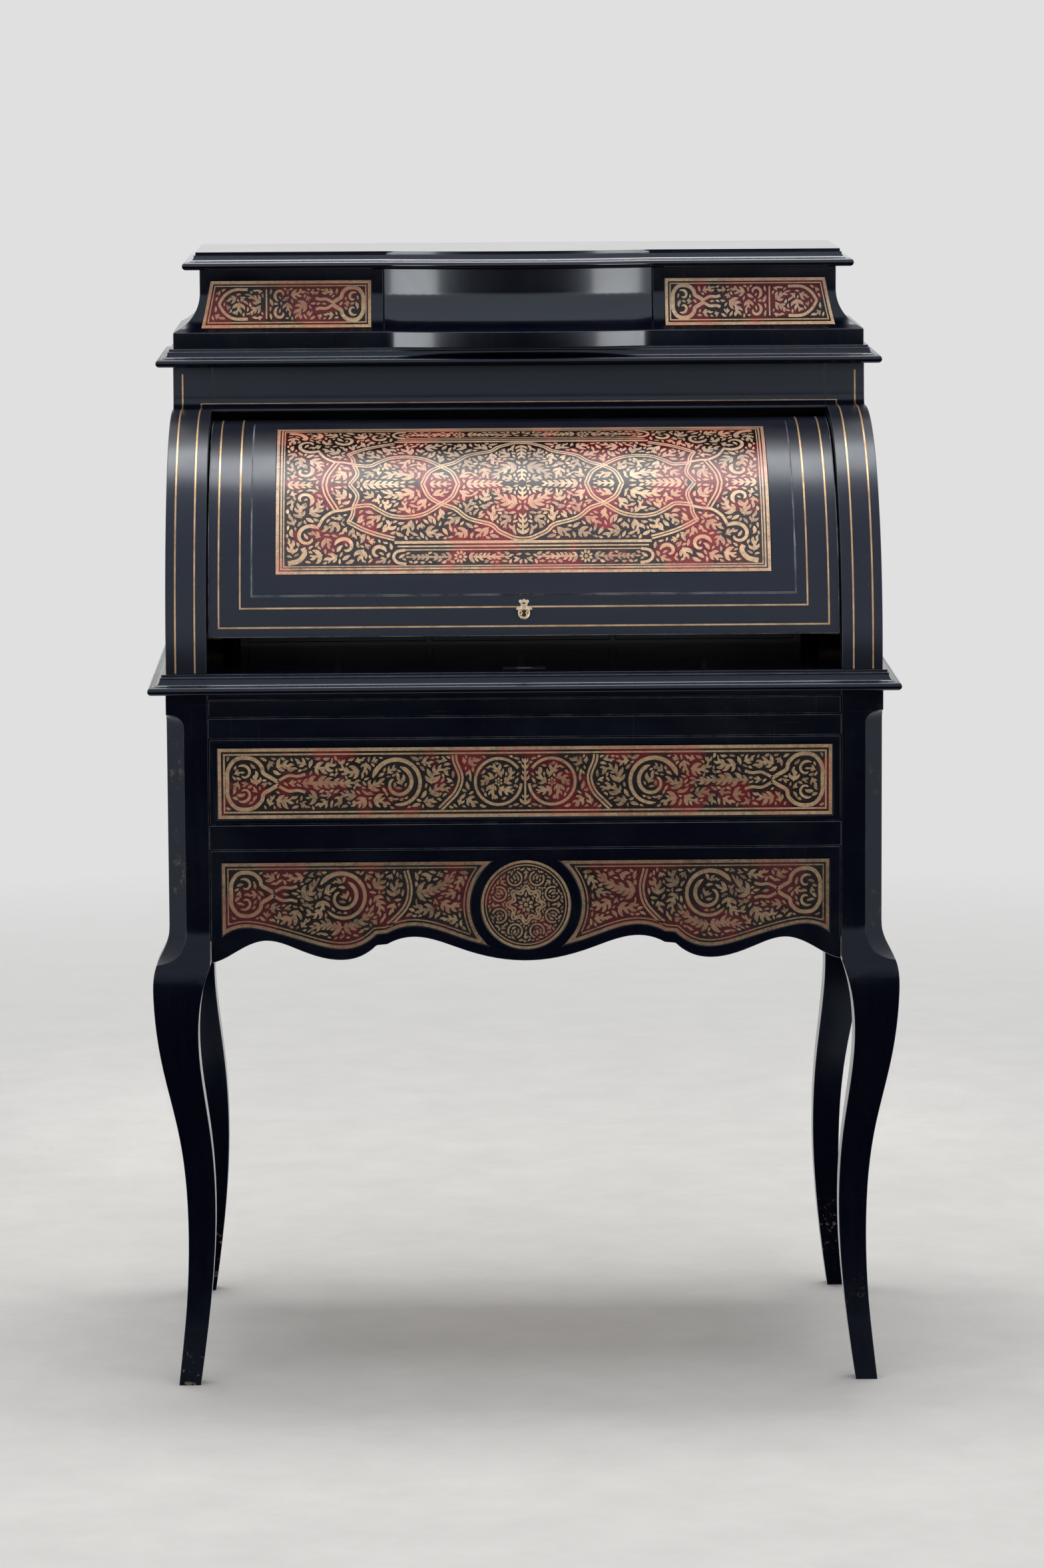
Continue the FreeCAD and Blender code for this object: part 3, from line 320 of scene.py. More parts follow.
def plain_wood(name, light, dark, gloss):
    """Bare or waxed wood in two named colours, its grain along the axis that ends the name."""
    tones = bpy.context.scene.desk_colours
    light, dark = getattr(tones, light), getattr(tones, dark)
    made, tree, shader = finish(name, {"Specular IOR Level": 0.4})
    grain = effect(tree, "grain", {"Stretch": ALONG[name[-1]]})
    touch = effect(tree, "handling", {"Smear size": 9.0})
    base = mix(tree, grain["Streak"], light, dark)
    stain = mix(tree, product(tree, touch["Smear"], 0.45), base, dark)
    rough = spread(tree, grain["Height"], 0.3, 0.7, gloss, gloss + 0.16)
    feed(tree, shader, stain, rough, height=grain["Height"], bump=0.3, deep=0.0002)
    return made


def worn_brass(name, patch, gloss, metal, clean):
    """Brass of a named colour, with dull patches and pits."""
    tones = bpy.context.scene.desk_colours
    made, tree, shader = finish(name, {"Metallic": metal, "Specular IOR Level": 0.5})
    tarnish = effect(tree, "tarnish", {"Patch size": patch})
    tone = mix(tree, product(tree, tarnish["Dull"], 0.8), getattr(tones, clean), tones.brass_dull)
    base = mix(tree, product(tree, tarnish["Pits"], 0.6), tone, tones.brass_dull)
    rough = spread(tree, tarnish["Dull"], 0.0, 1.0, gloss, gloss + 0.2)
    feed(tree, shader, base, rough, height=product(tree, tarnish["Pits"], -1.0), bump=0.2, deep=0.0001)
    return made


# Heights between which the marquetry of the lid turns darker: painted shade, standing for the frieze's
# shadow on the lid's top
PAINTED_SHADE_HEIGHTS = (0.94, 0.97)


def painted_shade_by_height(tree, painted_shade):
    """How strongly the painted shade of the lid's top shows: nothing low down, full at the top."""
    place = add(tree, "ShaderNodeTexCoord").outputs["Object"]
    height = add(tree, "ShaderNodeSeparateXYZ", {0: place}).outputs["Z"]
    return spread(tree, height, *PAINTED_SHADE_HEIGHTS, 0.0, painted_shade)


def fade_in_painted_shade(tree, shader, shade_share):
    """Lets a finish lose its varnish and its shine under the painted shade high on the lid."""
    for key in ("Coat Weight", "Specular IOR Level"):
        socket = shader.inputs[key]
        tree.links.new(spread(tree, shade_share, 0.0, 1.0, socket.default_value, 0.0), socket)


def inlay_brass(name, light, varnish, painted_shade):
    """Old brass of the marquetry, each piece in its own tone, darkened high on the lid by painted shade as
    much as the last argument says.
    """
    tones = bpy.context.scene.desk_colours
    clean, dull_and_shade_tone, red_tone = (tuple(light * c for c in tone)
                                  for tone in (tones.inlay, tones.inlay_dull, tones.inlay_red))
    made, tree, shader = finish(name, {"Metallic": 0.12, "Coat Roughness": 0.4, "Coat Weight": varnish,
                                       "Specular IOR Level": 0.3 + 0.7 * varnish})
    tarnish = effect(tree, "tarnish", {"Patch size": 22.0})
    own = add(tree, "ShaderNodeAttribute", attribute_name="tone").outputs["Fac"]
    dull_and_shade = total(tree, product(tree, tarnish["Dull"], 0.45), spread(tree, own, 0.0, 1.0, 0.42, 0.0))
    dull_and_shade = total(tree, dull_and_shade, product(tree, tarnish["Worn"], 0.5))
    # Painted shade high on the lid, for the frieze's shadow: the brass turns dull and loses varnish and
    # shine
    if painted_shade > 0.0:
        shade_share = painted_shade_by_height(tree, painted_shade)
        dull_and_shade = total(tree, dull_and_shade, shade_share)
        fade_in_painted_shade(tree, shader, shade_share)
    red = effect(tree, "red", {"Patch size": 17.0})["Red"]
    base = mix(tree, product(tree, red, 0.5), mix(tree, dull_and_shade, clean, dull_and_shade_tone), red_tone)
    rough = spread(tree, tarnish["Dull"], 0.0, 1.0, 0.42, 0.58)
    feed(tree, shader, base, rough, height=product(tree, tarnish["Pits"], -1.0), bump=0.2, deep=0.0001)
    return made


def shell_ground(name, share, varnish, painted_shade):
    """Black and red shell, the ground of the marquetry, under old polish; share is how red the red is, and
    the last argument is how much painted shade darkens it high on the lid.
    """
    tones = bpy.context.scene.desk_colours
    made, tree, shader = finish(name, {"Coat Roughness": 0.4, "Coat Weight": varnish,
                                       "Specular IOR Level": 0.3})
    shell = effect(tree, "red", {"Patch size": 17.0})
    touch = effect(tree, "handling", {"Smear size": 9.0})
    redness = product(tree, shell["Red"], share)
    # Painted shade high on the lid, for the frieze's shadow: the shell turns less red and loses varnish and
    # shine
    if painted_shade > 0.0:
        shade_share = painted_shade_by_height(tree, painted_shade)
        redness = product(tree, redness, spread(tree, shade_share, 0.0, 1.0, 1.0, 0.3))
        fade_in_painted_shade(tree, shader, shade_share)
    base = mix(tree, redness, tones.shell_black, tones.shell_red)
    rough = spread(tree, touch["Smear"], 0.0, 1.0, 0.24, 0.4)
    feed(tree, shader, base, rough, height=shell["Mottle"], bump=0.06, deep=0.0001)
    return made


def slide_leather(name):
    """Old leather with a fine pebbled grain, rubbed pale in patches."""
    tones = bpy.context.scene.desk_colours
    made, tree, shader = finish(name, {"Specular IOR Level": 0.35})
    place = add(tree, "ShaderNodeTexCoord").outputs["Object"]
    pebble = add(tree, "ShaderNodeTexVoronoi", {"Vector": place, "Scale": 700.0}).outputs["Distance"]
    touch = effect(tree, "handling", {"Smear size": 8.0})
    base = mix(tree, product(tree, touch["Smear"], 0.7), tones.leather, tones.leather_worn)
    rough = spread(tree, pebble, 0.0, 0.6, 0.42, 0.62)
    feed(tree, shader, base, rough, height=pebble, bump=0.5, deep=0.0003)
    return made


def lock_iron(name):
    """Dull filed iron of the lock."""
    tones = bpy.context.scene.desk_colours
    made, tree, shader = finish(name, {"Metallic": 1.0})
    tarnish = effect(tree, "tarnish", {"Patch size": 60.0})
    dark = tuple(0.35 * c for c in tones.iron)
    base = mix(tree, tarnish["Dull"], tones.iron, dark)
    rough = spread(tree, tarnish["Dull"], 0.0, 1.0, 0.35, 0.6)
    feed(tree, shader, base, rough, height=tarnish["Pits"], bump=0.2)
    return made


FINISHES = {
    # Coat, shine, scuffs and haze
    "black_polish": (black_polish, 0.2, 0.44, 0.0, 0.0),
    "clear_polish": (black_polish, 1.0, 0.44, 0.0, 0.0),
    "soft_polish": (black_polish, 0.2, 0.44, 0.0, 0.1),
    "leg_polish": (black_polish, 0.0, 0.28, 0.8, 0.0),
    # Light colour, dark colour and roughness
    "drawer_wood": (plain_wood, "pine", "pine_dark", 0.5),
    # Wood of the pigeonholes, darkened as painted shade inside the desk
    "nest_wood": (plain_wood, "nest", "nest_dark", 0.28),
    # Patches in a metre, roughness, metal and colour
    "line_brass": (worn_brass, 40.0, 0.32, 0.85, "brass"),
    "cast_brass": (worn_brass, 150.0, 0.22, 0.75, "brass"),
    "key_brass": (worn_brass, 260.0, 0.12, 1.0, "key_brass"),
    # How light, how varnished and how much painted shade darkens it high up; the lightness makes lit and
    # shaded copies of one brass
    # A lighter copy: painted light on the upturned lid
    "lid_brass": (inlay_brass, 1.28, 1.0, 0.55),
    "top_brass": (inlay_brass, 1.4, 0.4, 0.0),
    # A lighter, more varnished copy of the top drawers' brass: painted light from the right
    "right_top_brass": (inlay_brass, 1.55, 1.0, 0.0),
    "drawer_brass": (inlay_brass, 1.08, 0.25, 0.0),
    # A darker copy: painted shade on the lower drawer
    "apron_brass": (inlay_brass, 0.78, 0.25, 0.0),
    # How red, how varnished and how much painted shade darkens it high up
    "lid_shell": (shell_ground, 1.0, 0.75, 1.0),
    "drawer_shell": (shell_ground, 1.0, 0.2, 0.0),
    "apron_shell": (shell_ground, 0.5, 0.2, 0.0),
    "slide_leather_finish": (slide_leather,),
    "lock_iron": (lock_iron,),
}


def finish_named(name):
    """A finish by its name, made when first asked for; a wood's name ends with the axis of its grain."""
    made = bpy.data.materials.get(name)
    if made is None:
        make, *values = FINISHES[name[:-2] if name[-2] == "_" else name]
        made = make(name, *values)
    return made


# Modelling

def only(piece):
    """Selects one piece and nothing else."""
    bpy.ops.object.select_all(action="DESELECT")
    piece.select_set(True)
    bpy.context.view_layer.objects.active = piece


def modifier(piece, kind, **settings):
    """A modifier that is added with its settings and applied."""
    only(piece)
    bpy.ops.object.modifier_add(type=kind)
    made = piece.modifiers[-1]
    for key, value in settings.items():
        setattr(made, key, value)
    bpy.ops.object.modifier_apply(modifier=made.name)


def paint(piece, name):
    """Gives a piece one finish all over."""
    piece.data.materials.clear()
    piece.data.materials.append(finish_named(name))


def body_of(node):
    """The body that a node of the frame rides on."""
    return frame["nodes"][node]["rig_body"]


def joint(name):
    """A joint of the frame, by its name."""
    return next(found for found in frame["joints"] if found["name"] == name)


def box_mm(node):
    """The low and the high corner of a node of the frame, in mm to the nearest hundredth."""
    return [[round(1000 * along, 2) for along in corner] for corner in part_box(node)]


# The frieze: heights of its two bends, how far it leans back between them, and the y behind which it stays
FRIEZE_BENDS = (1.0185, 1.037)
FRIEZE_LEAN = 0.002
FRIEZE_BACK = 0.04


def dress(node, finish_name, arris, clamp=False, lean=0.0, sheet=None, rubbed=0.4):
    """A finished copy of a board: flats made whole, arrises rounded and marked for rubbing.

    A frieze board leans back between its bends; the edges round a sheet of marquetry aren't rubbed.
    """
    piece = bpy.data.objects.new(node + "_polished", frame["nodes"][node].data.copy())
    bpy.context.scene.collection.objects.link(piece)
    only(piece)
    piece.data.materials.clear()
    bpy.ops.mesh.customdata_custom_splitnormals_clear()
    bpy.ops.object.mode_set(mode="EDIT")
    bpy.ops.mesh.select_all(action="SELECT")
    bpy.ops.mesh.remove_doubles(threshold=0.00001)
    bpy.ops.mesh.dissolve_limited(angle_limit=math.radians(0.4))
    for height in FRIEZE_BENDS if lean > 0.0 else ():
        bpy.ops.mesh.select_all(action="SELECT")
        bpy.ops.mesh.bisect(plane_co=(0.0, 0.0, height), plane_no=(0.0, 0.0, 1.0))
    bpy.ops.mesh.select_mode(type="VERT")
    bpy.ops.mesh.select_all(action="DESELECT")
    bpy.ops.object.mode_set(mode="OBJECT")
    for vertex in piece.data.vertices:
        above = vertex.co.z > FRIEZE_BENDS[1] - 0.0001
        vertex.select = lean > 0.0 and above and vertex.co.y < FRIEZE_BACK
    bpy.ops.object.mode_set(mode="EDIT")
    bpy.ops.transform.translate(value=(0.0, lean, 0.0))
    bpy.ops.object.mode_set(mode="OBJECT")
    piece.data.materials.append(finish_named(finish_name))
    piece.data.materials.append(finish_named(finish_name))
    modifier(piece, "BEVEL", width=arris, segments=2, limit_method="ANGLE",
             angle_limit=math.radians(30), use_clamp_overlap=clamp, material=1)
    mark_arrises(piece.data, sheet, rubbed)
    only(piece)
    bpy.ops.object.shade_smooth_by_angle(angle=math.radians(50))
    modifier(piece, "WEIGHTED_NORMAL", keep_sharp=True, weight=100)
    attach(piece, body_of(node))
    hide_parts(node)


def mark_arrises(mesh, sheet, rubbed):
    """Writes how rubbed the ridge of each rounded arris is: not at all round a sheet of marquetry."""
    low, high = (Vector(corner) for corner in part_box(sheet)) if sheet else (Vector(), Vector())
    room = 0.002
    flat = set()
    for face in mesh.polygons:
        if face.material_index == 0:
            flat.update(face.vertices)
        face.material_index = 0
    mesh.materials.pop(index=1)
    edge = mesh.attributes.new("arris", "FLOAT", "POINT")
    for vertex in mesh.vertices:
        spot = vertex.co
        beside = all(low[k] - room < spot[k] < high[k] + room for k in (0, 2))
        edge.data[vertex.index].value = 0.0 if vertex.index in flat or beside else rubbed


class DESK_OT_polished_boards(bpy.types.Operator):
    """Finish the ebonised boards with rounded arrises and black polish"""
    bl_idname = "desk.polished_boards"
    bl_label = "Polished Boards"

    def execute(self, context):
        grain = {
            "x": ["top_rail", "slide_rail", "drawer_rail", "slide_board", "upper_drawer_front",
                  "lower_drawer_front", "desk_top", "frieze_rail", "lid_board", "mid_cornice", "top_plinth",
                  "left_top_drawer_front", "centre_top_drawer_front", "right_top_drawer_front",
                  "top_cornice"],
            "y": ["left_lower_side", "right_lower_side", "top_tier_walls"],
            "z": ["front_left_leg", "front_right_leg", "rear_left_leg", "rear_right_leg", "left_pilaster",
                  "right_pilaster", "left_upper_side", "right_upper_side", "lid_left_arm", "lid_right_arm"],
        }
        sheets = {
            "upper_drawer_front": "upper_drawer_marquetry",
            "lower_drawer_front": "lower_drawer_marquetry",
            "lid_board": "lid_marquetry",
            "left_top_drawer_front": "left_top_marquetry",
            "right_top_drawer_front": "right_top_marquetry",
        }
        worn = {"slide_rail": 0.5, "drawer_rail": 0.5, "slide_board": 0.6, "upper_drawer_front": 0.5,
                "lower_drawer_front": 0.5, "lid_board": 2.0}
        little_worn = 0.3
        clear = ("top_cornice", "top_plinth", "centre_top_drawer_front")
        frieze = ("frieze_rail", "left_pilaster", "right_pilaster")
        legs = [node for node in grain["z"] if node.endswith("_leg")]
        polish = dict.fromkeys(clear, "clear_polish_")
        polish.update(dict.fromkeys(("lid_board", *frieze), "soft_polish_"))
        polish.update(dict.fromkeys(legs, "leg_polish_"))
        sizes = context.scene.desk_sizes
        for axis, nodes in grain.items():
            for node in nodes:
                name = polish.get(node, "black_polish_") + axis
                arris = sizes.front_arris if node in worn else sizes.arris
                clamp = node in ("top_cornice", "top_tier_walls")
                lean = FRIEZE_LEAN if node in frieze else 0.0
                rubbed = worn.get(node, little_worn)
                dress(node, name, arris, clamp, lean, sheets.get(node), rubbed)
        return {"FINISHED"}


class DESK_OT_insides(bpy.types.Operator):
    """Finish the drawer boxes, back boards, fittings, leather and shell sheets"""
    bl_idname = "desk.insides"
    bl_label = "Insides and Fittings"

    def execute(self, context):
        finishes = {
            "drawer_wood_y": ["upper_drawer_box", "lower_drawer_box", "left_top_drawer_box",
                              "centre_top_drawer_box", "right_top_drawer_box", "drawer_runners",
                              "slide_bearers"],
            "drawer_wood_x": ["lower_back_panel", "top_tier_back"],
            "black_polish_x": ["upper_back_panel"],
            "cast_brass": ["pivot_plates", "pivot_screws", "left_nest_knob", "centre_nest_knob",
                           "right_nest_knob"],
            # The pigeonholes are painted dark: painted shade inside the closed desk
            "nest_wood_x": ["nest_boards", "left_nest_drawer", "centre_nest_drawer", "right_nest_drawer"],
            "nest_wood_z": ["nest_uprights"],
            "lock_iron": ["lock_case", "lock_bolt", "strike_plate"],
            "slide_leather_finish": ["slide_leather"],
            "lid_shell": ["lid_marquetry"],
            "drawer_shell": ["upper_drawer_marquetry", "left_top_marquetry", "right_top_marquetry"],
            "apron_shell": ["lower_drawer_marquetry"],
        }
        for name, nodes in finishes.items():
            for node in nodes:
                paint(frame["nodes"][node], name)
        return {"FINISHED"}


# Marquetry

def toward(angle):
    """The unit vector of a heading."""
    return np.array([math.cos(angle), math.sin(angle)])


def straight(start, end, step=8.0):
    """Stations about a step apart on a straight line."""
    start, end = np.array(start, float), np.array(end, float)
    count = max(2, int(np.hypot(*(end - start)) / step) + 1)
    return start + (end - start) * np.linspace(0.0, 1.0, count)[:, None]


def curve(points, step=1.6):
    """A smooth line through the points, with stations about a step apart."""
    p = np.array(points, float)
    p = np.vstack([2 * p[0] - p[1], p, 2 * p[-1] - p[-2]])
    runs = []
    for a, b, c, d in zip(p[:-3], p[1:-2], p[2:-1], p[3:]):
        count = max(2, int(np.hypot(*(c - b)) / step) + 1)
        t = np.linspace(0.0, 1.0, count, endpoint=False)[:, None]
        runs.append(b + 0.5 * t * (c - a + t * (2 * a - 5 * b + 4 * c - d + t * (3 * (b - c) + d - a))))
    return np.vstack([*runs, p[-2:-1]])


def ring(centre, radius, start=0.0, sweep=2 * math.pi, end_radius=None, step=1.6):
    """Stations round a centre, on a circle or a spiral."""
    last = radius if end_radius is None else end_radius
    count = max(4, int(abs(sweep) * max(radius, last) / step) + 1)
    turn = np.linspace(0.0, 1.0, count)
    angle, reach = start + sweep * turn, radius + (last - radius) * turn
    return np.column_stack([centre[0] + reach * np.cos(angle), centre[1] + reach * np.sin(angle)])


def sides(line):
    """Unit vectors to the left of a line at its stations."""
    along = np.gradient(line, axis=0)
    along /= np.maximum(np.hypot(along[:, 0], along[:, 1]), 1e-9)[:, None]
    return np.column_stack([-along[:, 1], along[:, 0]])


def inset(outline, by):
    """A closed outline that turns left, moved inwards, its corners kept sharp."""
    before = outline - np.roll(outline, 1, axis=0)
    after = np.roll(outline, -1, axis=0) - outline
    inward = [np.column_stack([-e[:, 1], e[:, 0]]) / np.hypot(*e.T)[:, None] for e in (before, after)]
    both = inward[0] + inward[1]
    return outline + by * 2.0 * both / np.sum(both ** 2, axis=1)[:, None]


def border(outline, away, half, tone):
    """A strip inside a closed outline, without the stations that a sharp corner throws out."""
    inner, outer = inset(outline, away + half), inset(outline, away - half)
    kept = [k for k, point in enumerate(inner) if nearest(outline, point) > 0.96 * (away + half)]
    kept.append(kept[0])
    return inner[kept], outer[kept], 0.03, tone


def nearest(outline, point):
    """Distance of a point from a closed outline."""
    start, along = outline, np.roll(outline, -1, axis=0) - outline
    share = np.clip(np.sum((point - start) * along, axis=1) / np.sum(along ** 2, axis=1), 0.0, 1.0)
    return np.hypot(*(start + share[:, None] * along - point).T).min()


def mirrored(strips, across):
    """The strips' mirror images across u or v at nought."""
    flip = np.array([-1.0, 1.0] if across == "u" else [1.0, -1.0])
    return [(right * flip, left * flip, lift, tone) for left, right, lift, tone in strips]


class Sheet:
    """A sheet of marquetry while it is drawn, in mm: its outline, the brass laid and the room left."""

    def __init__(self, outline, seed, bold=1.5, gap=1.0, cell=0.4):
        self.outline = np.array(outline, float)
        self.cell, self.bold, self.gap = cell, bold, bold * gap
        self.chance = np.random.default_rng(seed)
        self.low = self.outline.min(0) - 1.0
        self.size = np.ceil((self.outline.max(0) + 1.0 - self.low) / cell).astype(int)
        self.axes = [self.low[k] + cell * (np.arange(self.size[k]) + 0.5) for k in (0, 1)]
        self.room = self.to_edge()
        self.strips = []

    def to_edge(self):
        """Distance of each cell from the outline, negative outside."""
        u, v = np.meshgrid(*self.axes, indexing="ij")
        near, inside = np.full(u.shape, 1e6), np.zeros(u.shape, bool)
        for a, b in zip(self.outline, np.roll(self.outline, -1, axis=0)):
            e = b - a
            t = np.clip(((u - a[0]) * e[0] + (v - a[1]) * e[1]) / (e @ e), 0.0, 1.0)
            near = np.minimum(near, np.hypot(u - a[0] - t * e[0], v - a[1] - t * e[1]))
            if e[1]:
                inside ^= ((a[1] > v) != (b[1] > v)) & (u < a[0] + e[0] * (v - a[1]) / e[1])
        return np.where(inside, near, -near)

    def room_at(self, points):
        """The room left at each of these points."""
        spots = np.clip(((points - self.low) / self.cell).astype(int), 0, self.size - 1)
        return self.room[spots[:, 0], spots[:, 1]]

    def press(self, points, radii, reach=8.0):
        """Takes the room of discs along a line."""
        for point, radius in zip(points, radii):
            near = np.maximum(((point - radius - reach - self.low) / self.cell).astype(int), 0)
            far = np.minimum(((point + radius + reach - self.low) / self.cell).astype(int) + 1, self.size)
            if (far > near).all():
                u, v = (self.axes[k][near[k]:far[k]] - point[k] for k in (0, 1))
                part = self.room[near[0]:far[0], near[1]:far[1]]
                np.minimum(part, np.sqrt(u[:, None] ** 2 + v[None, :] ** 2) - radius, out=part)

    def lay(self, line, halves, lift=0.0, tone=None, clear=0.0):
        """Lays a strip of brass of these half widths along a line."""
        line = np.asarray(line, float)
        halves = np.broadcast_to(np.asarray(halves, float), (len(line),))
        out = sides(line) * halves[:, None]
        self.strips.append((line + out, line - out, lift, self.chance.uniform() if tone is None else tone))
        run = np.concatenate([[0.0], np.cumsum(np.hypot(*np.diff(line, axis=0).T))])
        at = np.linspace(0.0, run[-1], int(run[-1] / 0.9) + 2)
        spots = np.column_stack([np.interp(at, run, line[:, k]) for k in (0, 1)])
        self.press(spots, np.interp(at, run, halves) + clear)

    def band(self, line, half, clear=0.6, lift=0.03, tone=0.85):
        """A single line of brass with the ground left clear beside it."""
        self.lay(line, half, lift, tone, clear)

    def strap(self, line, half=0.95, apart=1.5, clear=0.9, lift=0.03):
        """A strap of two lines of brass side by side, with the ground left clear beside them."""
        line = np.asarray(line, float)
        for side in (1, -1):
            self.lay(line + side * apart * sides(line), half, lift, 0.75 + 0.2 * (side > 0), clear)

    def scroll(self, line, first, last, tone=0.9, clear=0.6):
        """A single line of brass that tapers from one half width to another, drawn in at both ends."""
        count = len(line)
        ends = np.minimum(np.arange(count), np.arange(count)[::-1])
        halves = np.linspace(first, last, count) * np.clip(0.3 + 0.2 * ends, 0.0, 1.0)
        self.lay(line, halves, 0.03, tone, clear)

    def leaf(self, root, heading, size, bend, own=(), first=2, foot=0.6):
        """Stations and half widths of a leaf if there is room for it, made shorter where it must be."""
        for share in (1.0, 0.8, 0.62, 0.46):
            reach = size * share * self.bold
            if reach < 2.8 * self.bold:
                break
            turn = heading + bend * np.linspace(-0.3, 1.0, 6) ** 2
            steps = np.column_stack([np.cos(turn), np.sin(turn)]) * reach / 6
            line = np.vstack([root, root + np.cumsum(steps, axis=0)])
            half = np.clip(0.21 * reach, 0.75 * self.bold, 1.7 * self.bold)
            halves = half * np.array([foot, 0.5 * foot + 0.55, 1.0, 0.98, 0.8, 0.5, 0.1])
            if (self.room_at(line) - halves < self.gap)[first:].any():
                continue
            if all((np.hypot(*(line[k] - spots).T) - radii - halves[k] > 0.55 * self.gap).all()
                   for spots, radii in own for k in (3, 4, 5, 6)):
                return line, halves
        return None

    def leaves(self, rooted, tone, first=2):
        """Lays the leaves that find room, given as root, heading, size and bend."""
        own, laid = [], []
        for root, heading, size, bend in rooted:
            grown = self.leaf(root, heading, size, bend, own, first)
            if grown is not None:
                own.append((grown[0][3:], grown[1][3:]))
                laid.append(grown)
        for line, halves in laid:
            self.lay(line, halves, 0.0, 0.8 * tone + 0.2 * self.chance.uniform())

    def sprig(self, root, heading, reach, curl, size=7.4, stem=0.8, every=3.7, rooted=True):
        """Grows a curling stem with leaves to both sides, as far as there is room."""
        step, trail, turn = 0.7 * self.bold, [np.array(root, float)], heading
        stem, every = stem * self.bold, every * self.bold
        for count in range(int(reach / step)):
            turn += curl * step * (0.4 + 1.6 * count * step / reach)
            ahead = trail[-1] + step * toward(turn)
            least = -0.4 if rooted and count * step < 2.2 * self.bold else stem + self.gap
            if self.room_at(ahead[None])[0] < least:
                break
            trail.append(ahead)
        length = step * (len(trail) - 1)
        if length < 4.2 * self.bold:
            return
        trail = np.array(trail)
        along = np.arctan2(*np.gradient(trail, axis=0).T[::-1])
        grown = []
        for place in np.arange(0.4 * every, length, every):
            at, share = int(place / step), place / length
            for side in (1, -1):
                lean, scale, bend = self.chance.uniform((0.85, 0.85, 0.3), (1.15, 1.2, 1.3))
                grown.append((trail[at], along[at] + side * (1.05 - 0.4 * share) * lean,
                              size * (1.0 - 0.4 * share) * scale, -side * bend))
        grown.append((trail[-1], along[-1], size * 0.7, curl * 3.0))
        tone = self.chance.uniform()
        self.leaves(grown, tone)
        keep = np.unique(np.append(np.arange(0, len(trail), 3), len(trail) - 1))
        width = np.interp(np.linspace(0.0, 1.0, len(trail)), (0.0, 0.15, 0.4, 1.0), (0.25, 1.15, 1.4, 0.6))
        self.lay(trail[keep], (width * stem)[keep], 0.015, tone)

    def stem(self, start, end, size):
        """Half of a straight stem on an axis of the sheet, with leaves to the sheet's side of it."""
        start, end = np.array(start, float), np.array(end, float)
        length = np.hypot(*(end - start))
        ahead = (end - start) / length
        out = np.array([-ahead[1], ahead[0]])
        left, right = (self.room_at((start + side * 5.0 * out)[None])[0] for side in (1, -1))
        hand = 1 if left > right else -1
        out, turn = out * hand, math.atan2(ahead[1], ahead[0])
        places = np.arange(1.0, length - 1.0, 4.2 * self.bold)
        self.leaves([(start + k * ahead + 0.3 * out, turn + hand * (0.95 - 0.3 * k / length),
                      size * (1.0 - 0.3 * k / length), -hand * 0.6) for k in places], 0.85, 4)
        self.lay(straight(start, end, 6.0) + 0.5 * out, 0.5, 0.015, 0.9)

    def along(self, line, every, reach, curl):
        """Sprigs that leave a strap to both sides, leaning one way and the other in turn."""
        out = sides(np.asarray(line))
        run = np.concatenate([[0.0], np.cumsum(np.hypot(*np.diff(line, axis=0).T))])
        for count, place in enumerate(np.arange(every * 0.5, run[-1], every)):
            k = int(np.searchsorted(run, place))
            ahead, hand = math.atan2(-out[k][0], out[k][1]), 1 - 2 * (count % 2)
            for side in (1, -1):
                heading = ahead + side * 0.7 if hand > 0 else ahead + math.pi - side * 0.7
                root = line[k] + side * 4.0 * out[k]
                if self.room_at(root[None])[0] > 0.0:
                    self.sprig(root, heading, reach, side * hand * curl, 7.0)

    def floret(self, centre, radius, petals):
        """A flower: petals round a bud."""
        self.lay(ring(centre, radius * 0.16, step=0.8), radius * 0.14, 0.0, 0.9)
        for angle in 2 * math.pi * (np.arange(petals) + 0.5) / petals:
            out = toward(angle)
            self.lay(centre + out * radius * np.linspace(0.5, 1.15, 5)[:, None],
                     radius * 1.9 / petals * np.array([0.35, 0.9, 1.0, 0.75, 0.15]), 0.0, 0.8)

    def bud(self, centre, radius, heading):
        """A small pointed piece where there is no room for a leaf."""
        turn = heading + 0.8 * np.linspace(-0.5, 0.5, 5)
        steps = 0.62 * radius * np.column_stack([np.cos(turn), np.sin(turn)])
        line = np.vstack([np.zeros(2), np.cumsum(steps, axis=0)])
        self.lay(centre + line - line.mean(0), radius * np.array([0.15, 0.6, 0.85, 0.8, 0.5, 0.1]))

    def widest_way(self, centre):
        """The heading with the longest free run from a place."""
        ways = np.linspace(0.0, 2 * math.pi, 16, endpoint=False)
        runs = self.bold * np.linspace(1.0, 9.0, 6)[:, None]
        spots = centre + np.stack([np.cos(ways), np.sin(ways)], 1)[:, None] * runs
        clear = (self.room_at(spots.reshape(-1, 2)) > self.gap + 0.5).reshape(16, 6)
        return ways[np.argmax(np.cumprod(clear, axis=1).sum(1) + self.chance.uniform(0, 0.5, 16))]

